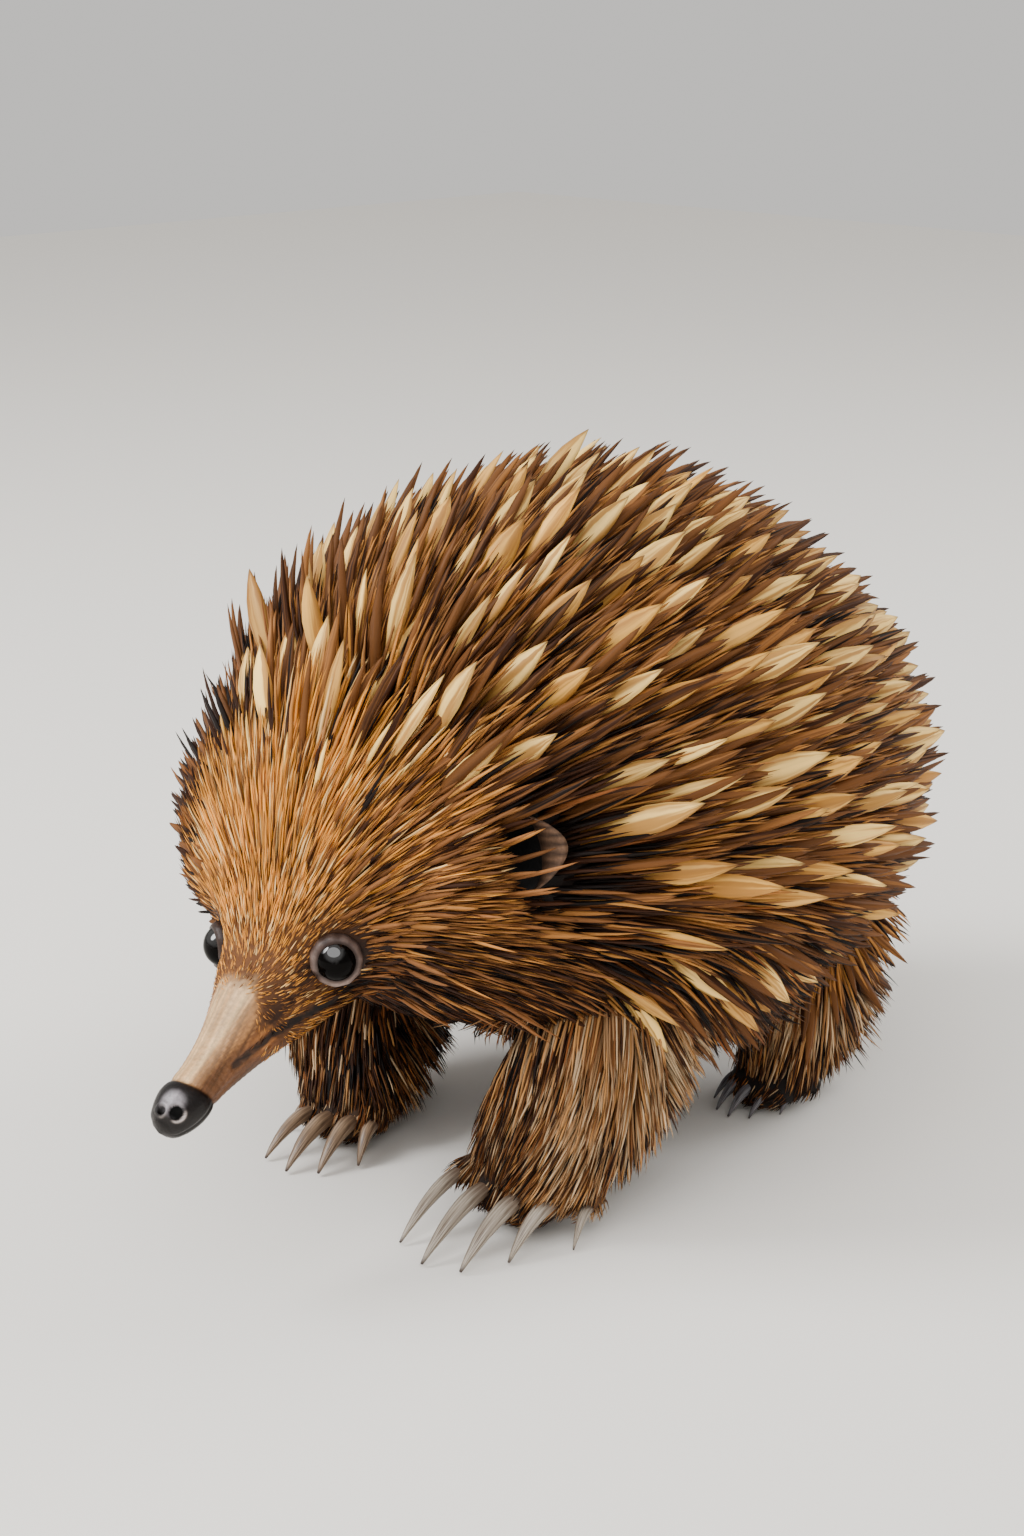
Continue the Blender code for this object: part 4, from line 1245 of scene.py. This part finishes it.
def make_lids(name, side):
    """The rim of bare skin round an eye, turned about its look: a low ring, dipped where the tear runs."""
    place, _ = eye_place(side)
    ahead, left, up = head_axes()
    aside, onward, rise = LID_LOOKS[side]
    look = unit(left * side * aside + ahead * onward + up * rise)
    level, upright = across(look)
    degrees, size, turned, lowered, paleness = (column[:, None] for column in np.array(LID_SECTION).T)
    turns = 64
    a = np.arange(turns) * 2 * math.pi / turns
    tear = math.pi + 0.6 if side > 0 else -0.6
    notch = np.exp(-((((a - tear + math.pi) % (2 * math.pi) - math.pi) / 0.22) ** 2))
    bend = np.radians(degrees) + 0.01 * np.cos(2 * a)[None] - 0.01 * np.sin(a)[None]
    bend = bend + notch[None] * turned
    radius = size + 0.1 * np.sin(11 * a + 1)[None] * (degrees > 60)
    radius = radius - 0.5 * notch[None] * lowered
    ring = level * np.cos(a)[:, None] * 0.97 + upright * np.sin(a)[:, None]
    radius = radius * (1 if side > 0 else 0.96)
    ways = look * np.cos(bend)[..., None] + ring[None] * np.sin(bend)[..., None]
    points = place + radius[..., None] * ways
    rings = len(LID_SECTION)
    low, k = np.meshgrid(np.arange(rings), np.arange(turns), indexing="ij")
    first, second = low * turns + k, low * turns + (k + 1) % turns
    third, fourth = (low + 1) % rings * turns + (k + 1) % turns, (low + 1) % rings * turns + k
    faces = np.stack([fourth, third, second, first], axis=-1).reshape(-1, 4)
    lids = mesh_object(name, points.reshape(-1, 3), faces)
    pale = paleness + 0.15 * np.cos(a - tear)[None]
    pale = pale * (0.62 - 0.38 * np.sin(a - 0.4 * side) + 0.22 * np.sin(7 * a) * np.cos(4 * a + 1))[None]
    pale = (pale * (1 - 0.9 * notch[None])).clip(0, 1).ravel()
    # Painted shade: the far eye's lids are kept dark.
    pale = pale * (1 if side > 0 else 0.15)
    dark, light = np.array(srgb(44, 30, 24)), np.array(srgb(132, 112, 104))
    with_numbers(lids, "coat_colour", dark + (light - dark) * pale[:, None])
    with_numbers(lids, "rough", np.full(len(pale), 0.45))
    return lids


def make_floor():
    bpy.ops.mesh.primitive_plane_add(size=FLOOR_SIZE, location=(0, 0, -0.0002))
    floor = bpy.context.object
    floor.name = "floor"
    floor.data.materials.append(plain_material("floor_pale", srgb(248, 244, 237), 0.9))


def make_lights():
    """Two broad lights above, by the camera and at its left, and a weak one behind for the outline."""
    for name, place, power, wide, tall in (
        ("key", (0.66, -1.2, 1.8), 36, 2.6, 2.0),
        ("left", (-1.0, -1.25, 1.4), 40, 0.9, 1.3),
        ("back", (0.6, 1.5, 1.3), 16, 1.0, 1.0),
    ):
        light = bpy.data.lights.new(name, "AREA")
        light.shape = "ELLIPSE"
        light.energy = power
        light.size = wide
        light.size_y = tall
        lamp = bpy.data.objects.new(name, light)
        lamp.location = place
        lamp.rotation_euler = (Vector(place) - Vector((0, 0, 0.12))).to_track_quat("Z", "Y").to_euler()
        bpy.context.scene.collection.objects.link(lamp)
    world = bpy.data.worlds.new("soft_room")
    bpy.context.scene.world = world
    world.use_nodes = True
    background = world.node_tree.nodes["Background"]
    background.inputs[0].default_value = (1.0, 0.98, 0.95, 1)
    background.inputs[1].default_value = 0.74


def make_camera():
    camera = bpy.data.cameras.new("camera")
    camera.lens = CAMERA_LENS
    camera.sensor_width = 36
    camera.sensor_fit = "AUTO"
    turn, rise = math.radians(CAMERA_TURN), math.radians(CAMERA_RISE)
    back = Vector((math.sin(turn) * math.cos(rise), -math.cos(turn) * math.cos(rise), math.sin(rise)))
    eye = bpy.data.objects.new("camera", camera)
    eye.location = Vector(CAMERA_AIM) + back * CAMERA_AWAY
    eye.rotation_euler = back.to_track_quat("Z", "Y").to_euler()
    bpy.context.scene.collection.objects.link(eye)
    bpy.context.scene.camera = eye


def from_nostril(places, way):
    """How far each place lies from the line through a nostril, on the nostril's side of the nose."""
    apart = places - NOSE_MIDDLE
    deep = apart @ unit(np.array(way))
    away = np.linalg.norm(apart - unit(np.array(way)) * deep[..., None], axis=-1)
    return np.where(deep > 0, away, 9)


def make_beak():
    """The beak on a fine grid, with its nose bulb set off by a groove, two nostrils, a crease and a mouth."""
    rings, sides = 200, 110
    points, ends = oval_tube(BEAK, rings, sides)
    table = smooth_rows(BEAK, rings)
    out = unit(points - table[:, None, :3])
    ahead, _, _ = head_axes()
    reach = (points - BEAK_ROOT) @ ahead
    tip = reach.max()
    rise = 0.45 * ease(tip - 18, tip - 13, reach) - 0.5 * np.exp(-(((reach - tip + 17.5) / 1.1) ** 2))
    angle = np.arange(sides)[None] * 360 / sides
    crease = np.exp(-((from_crease(points.reshape(-1, 3)).reshape(reach.shape) / 1.4) ** 2))
    mouth_angle = np.minimum(np.abs(angle - 335), np.abs(angle - 205))
    mouth = np.exp(-((mouth_angle / 6) ** 2))
    mouth = mouth * ease(tip - 36, tip - 26, reach) * ease(tip + 1, tip - 3, reach)
    rise = rise - 1.3 * crease - 0.5 * mouth
    for way, size in zip(NOSTRIL_WAYS, NOSTRIL_SIZES):
        away = from_nostril(points, way)
        rise = rise - 3.0 * ease(size + 0.5, size - 0.9, away)
        rise = rise + 0.35 * np.exp(-(((away - size - 0.8) / 0.7) ** 2))
    swirl = reach * 2.6 + 1.4 * np.sin(np.radians(angle) * 2)
    wrinkle = 0.06 * np.sin(swirl) * ease(-10, 6, reach) * ease(tip - 16, tip - 24, reach)
    points = points + out * (rise + wrinkle)[..., None]
    for side in (1, -1):
        points = points - socket(points.reshape(-1, 3), side).reshape(points.shape)
    return tube_object("beak_form", points, ends)


# The bare beak's colours by the angle from its top: silver above, partly painted highlight where the light
# falls on the top, brown at the sides, a warm lower jaw.
BEAK_TURNS = (0, 12, 20, 28, 42, 66, 80, 102, 124, 150)
BEAK_COLOURS = (
    srgb(160, 136, 106), srgb(188, 162, 130), srgb(196, 172, 138), srgb(160, 128, 94), srgb(124, 94, 68),
    srgb(92, 64, 44), srgb(150, 100, 54), srgb(130, 84, 46), srgb(84, 54, 34), srgb(56, 37, 27),
)
BEAK_GREY = srgb(146, 134, 122)
BEAK_WARM = (1.25, 1.08, 0.86)
BEAK_TAN = srgb(190, 142, 92)
BEAK_LOW = srgb(84, 60, 44)
NOSE = srgb(18, 10, 8)
NOSE_FACET_HIGHLIGHT = srgb(142, 136, 140)
NOSTRIL_RIM_HIGHLIGHT = srgb(206, 192, 186)
HOLLOW_SHADE = srgb(5, 4, 4)


def lengthwise(turn, reach, draw):
    """Brush-like streaks along the beak: a smoothed random number by the angle, which wanders along it."""
    table = draw.normal(0, 1, 240)
    table = np.convolve(table, [0.25, 0.5, 0.25], mode="same")
    return np.interp((turn + 2.5 * np.sin(reach / 7)) * 1.1 + 20, np.arange(240), table)


def mark_skin(body, draw):
    """Colours the skin: the coat's markings where it has one, with their painted shade, greyer on the beak with
    a painted highlight on its top, dark on the nose with painted highlights, and painted shade in the crease,
    the nostrils and the ear hollows.
    """
    mesh = body.data
    place = Ground.read(mesh.vertices, "co", 3) / MM - TO_MIDDLE
    out = Ground.read(mesh.vertex_normals, "vector", 3)
    whole = np.ones_like(place)
    golden, dark_and_shaded = markings(place, out)
    colour = blended(whole * srgb(40, 25, 17), whole * srgb(96, 60, 32), golden)
    colour = blended(colour, whole * srgb(92, 66, 46), ease(40, 20, place[:, 2]) * ease(20, 0, place[:, 1]))
    colour = blended(colour, whole * srgb(16, 11, 9), dark_and_shaded)
    ahead, left, up = head_axes()
    apart = place - BEAK_ROOT
    reach = apart @ ahead
    turn = np.degrees(np.arctan2(np.abs(out @ left), out @ up))
    beak = np.stack([np.interp(turn, BEAK_TURNS, [c[k] for c in BEAK_COLOURS]) for k in range(3)], axis=1)
    streak = lengthwise(np.degrees(np.arctan2(apart @ left, apart @ up)) * 0.5 + 90, reach, draw)
    second = lengthwise(np.degrees(np.arctan2(apart @ left, apart @ up)) * 0.8 + 70, reach + 9, draw)
    beak = blended(beak, whole * BEAK_GREY, (0.35 * second).clip(0, 0.5) * ease(60, 30, turn))
    beak = blended(beak, whole * BEAK_TAN, (-0.4 * second).clip(0, 0.55) * ease(120, 90, turn))
    beak = blended(beak, whole * BEAK_LOW, 0.88 * ease(6, 22, reach) * ease(50, 70, turn))
    beak = beak * (1 + 0.3 * streak)[:, None].clip(0.45, 1.6) * BEAK_WARM
    near = np.linalg.norm(np.cross(apart, ahead), axis=1) < 30
    edge = beak_edge(place)
    on_beak = ease(edge - 7, edge + 1, reach) * near
    colour = blended(colour, beak, on_beak)
    # Painted shade: the skin is darkened in the crease at the beak's side.
    crease = ease(2.5, 1.2, from_crease(place) + 0.02 * np.maximum(reach - 8, 0))
    colour = blended(colour, whole * srgb(22, 13, 9), 0.96 * crease)
    tip = reach.max()
    nose = ease(tip - 18.6, tip - 17.2, reach)
    # Painted highlight: a pale patch on the nose's upper front, where the skin is also glossier.
    highlight_facet = ease(5.8, 2.2, np.linalg.norm(place - NOSE_MIDDLE - unit(np.array(FACET_WAY)) * 8, axis=1))
    dark_nose = blended(whole * NOSE, whole * NOSE_FACET_HIGHLIGHT, highlight_facet * (0.8 + 0.25 * streak).clip(0, 1))
    colour = blended(colour, dark_nose, nose)
    deep = np.zeros(len(place))
    for way, size, side in zip(NOSTRIL_WAYS, NOSTRIL_SIZES, (1, -1)):
        away = from_nostril(place, way)
        # Painted highlight: a pale crescent on the lower rim of each nostril, strong on the near one.
        apart = unit(place - NOSE_MIDDLE - unit(np.array(way)) * 8)
        low = ease(0.2, 0.9, apart @ unit(np.array([0.65, 0.2, -0.75]))) * (1 if side > 0 else 0.3)
        rim = np.exp(-(((away - size - 0.75) / 0.4) ** 2)) * low * nose
        colour = blended(colour, whole * NOSTRIL_RIM_HIGHLIGHT, 0.85 * rim)
        # Painted shade: black fills the nostrils, less in the far one, and the ear hollows.
        deep = np.maximum(deep, ease(size + 0.35, size - 0.15, away) * nose * (1 if side > 0 else 0.75))
        deep = np.maximum(deep, ease(1.05, 0.8, ear_oval(place, side)))
    colour = blended(colour, whole * HOLLOW_SHADE, deep)
    with_numbers(body, "coat_colour", colour)
    with_numbers(body, "rough", np.maximum(0.75 - 0.23 * on_beak - 0.12 * nose - 0.14 * highlight_facet * nose, deep))


draw = np.random.default_rng(SEED)
body = make_body()
ground = Ground(body)
pieces = make_coat(ground, draw)

mottle = make_mottle()
finishes = {
    "fur": fur_material("short_fur", mottle, 0.62, 1.05),
    "long": fur_material("long_fur", mottle, 0.58, 0.8),
    "cream": spine_material("cream_spine", mottle, srgb(176, 116, 48), 0.6, 0.25),
    "dark": spine_material("dark_spine", mottle, BROWN, 0.4, 0.12),
    "skin": skin_material(mottle),
    "fore": claw_material("fore_claw_horn", srgb(84, 68, 54), srgb(184, 172, 156)),
    # The right forefoot's claws: a darker copy of the horn, as painted shade on the far foot.
    "far": claw_material("far_claw_horn_shaded", srgb(62, 44, 34), srgb(160, 134, 108)),
    "hind": claw_material("hind_claw_horn", srgb(44, 40, 42), srgb(122, 118, 122)),
    "eye": eye_material(),
}

COAT_KINDS = (("cream", "cream"), ("dark", "dark"), ("face", "fur"), ("muzzle", "fur"))

joined(body, make_beak(), "UNION")
mark_skin(body, draw)
dressed(body, finishes["skin"], "coat", "trunk", "head", "beak", "tail", *LEGS)
for name, piece in pieces.items():
    kind = next((kind for word, kind in COAT_KINDS if word in name), "long")
    dressed(piece, finishes[kind], "spines" if "spines" in name or "dome" in name else "coat")
for word, side in (("left", 1), ("right", -1)):
    place, look = eye_place(side)
    eyeball = ball(f"eyeball_{word}", place, look, EYE_RADIUS, EYE_SHINE[word])
    dressed(eyeball, finishes["eye"], "eye", f"eye_{word}")
    dressed(make_lids(f"lids_{word}", side), finishes["skin"], "coat")
    dressed(make_ear(f"ear_flap_{word}", side), finishes["skin"], "ear", f"ear_{word}")
for name, (_, claws) in LEGS.items():
    for number, claw in enumerate(claws, 1):
        piece = make_claw(f"claw_{name}_{number}", *claw)
        # The right forefoot takes the darker horn, painted shade.
        finish = finishes["far" if name == "foreleg_right" else name[:4]]
        dressed(piece, finish, "claw", f"{name}_claw_{number}")

make_floor()
make_lights()
make_camera()
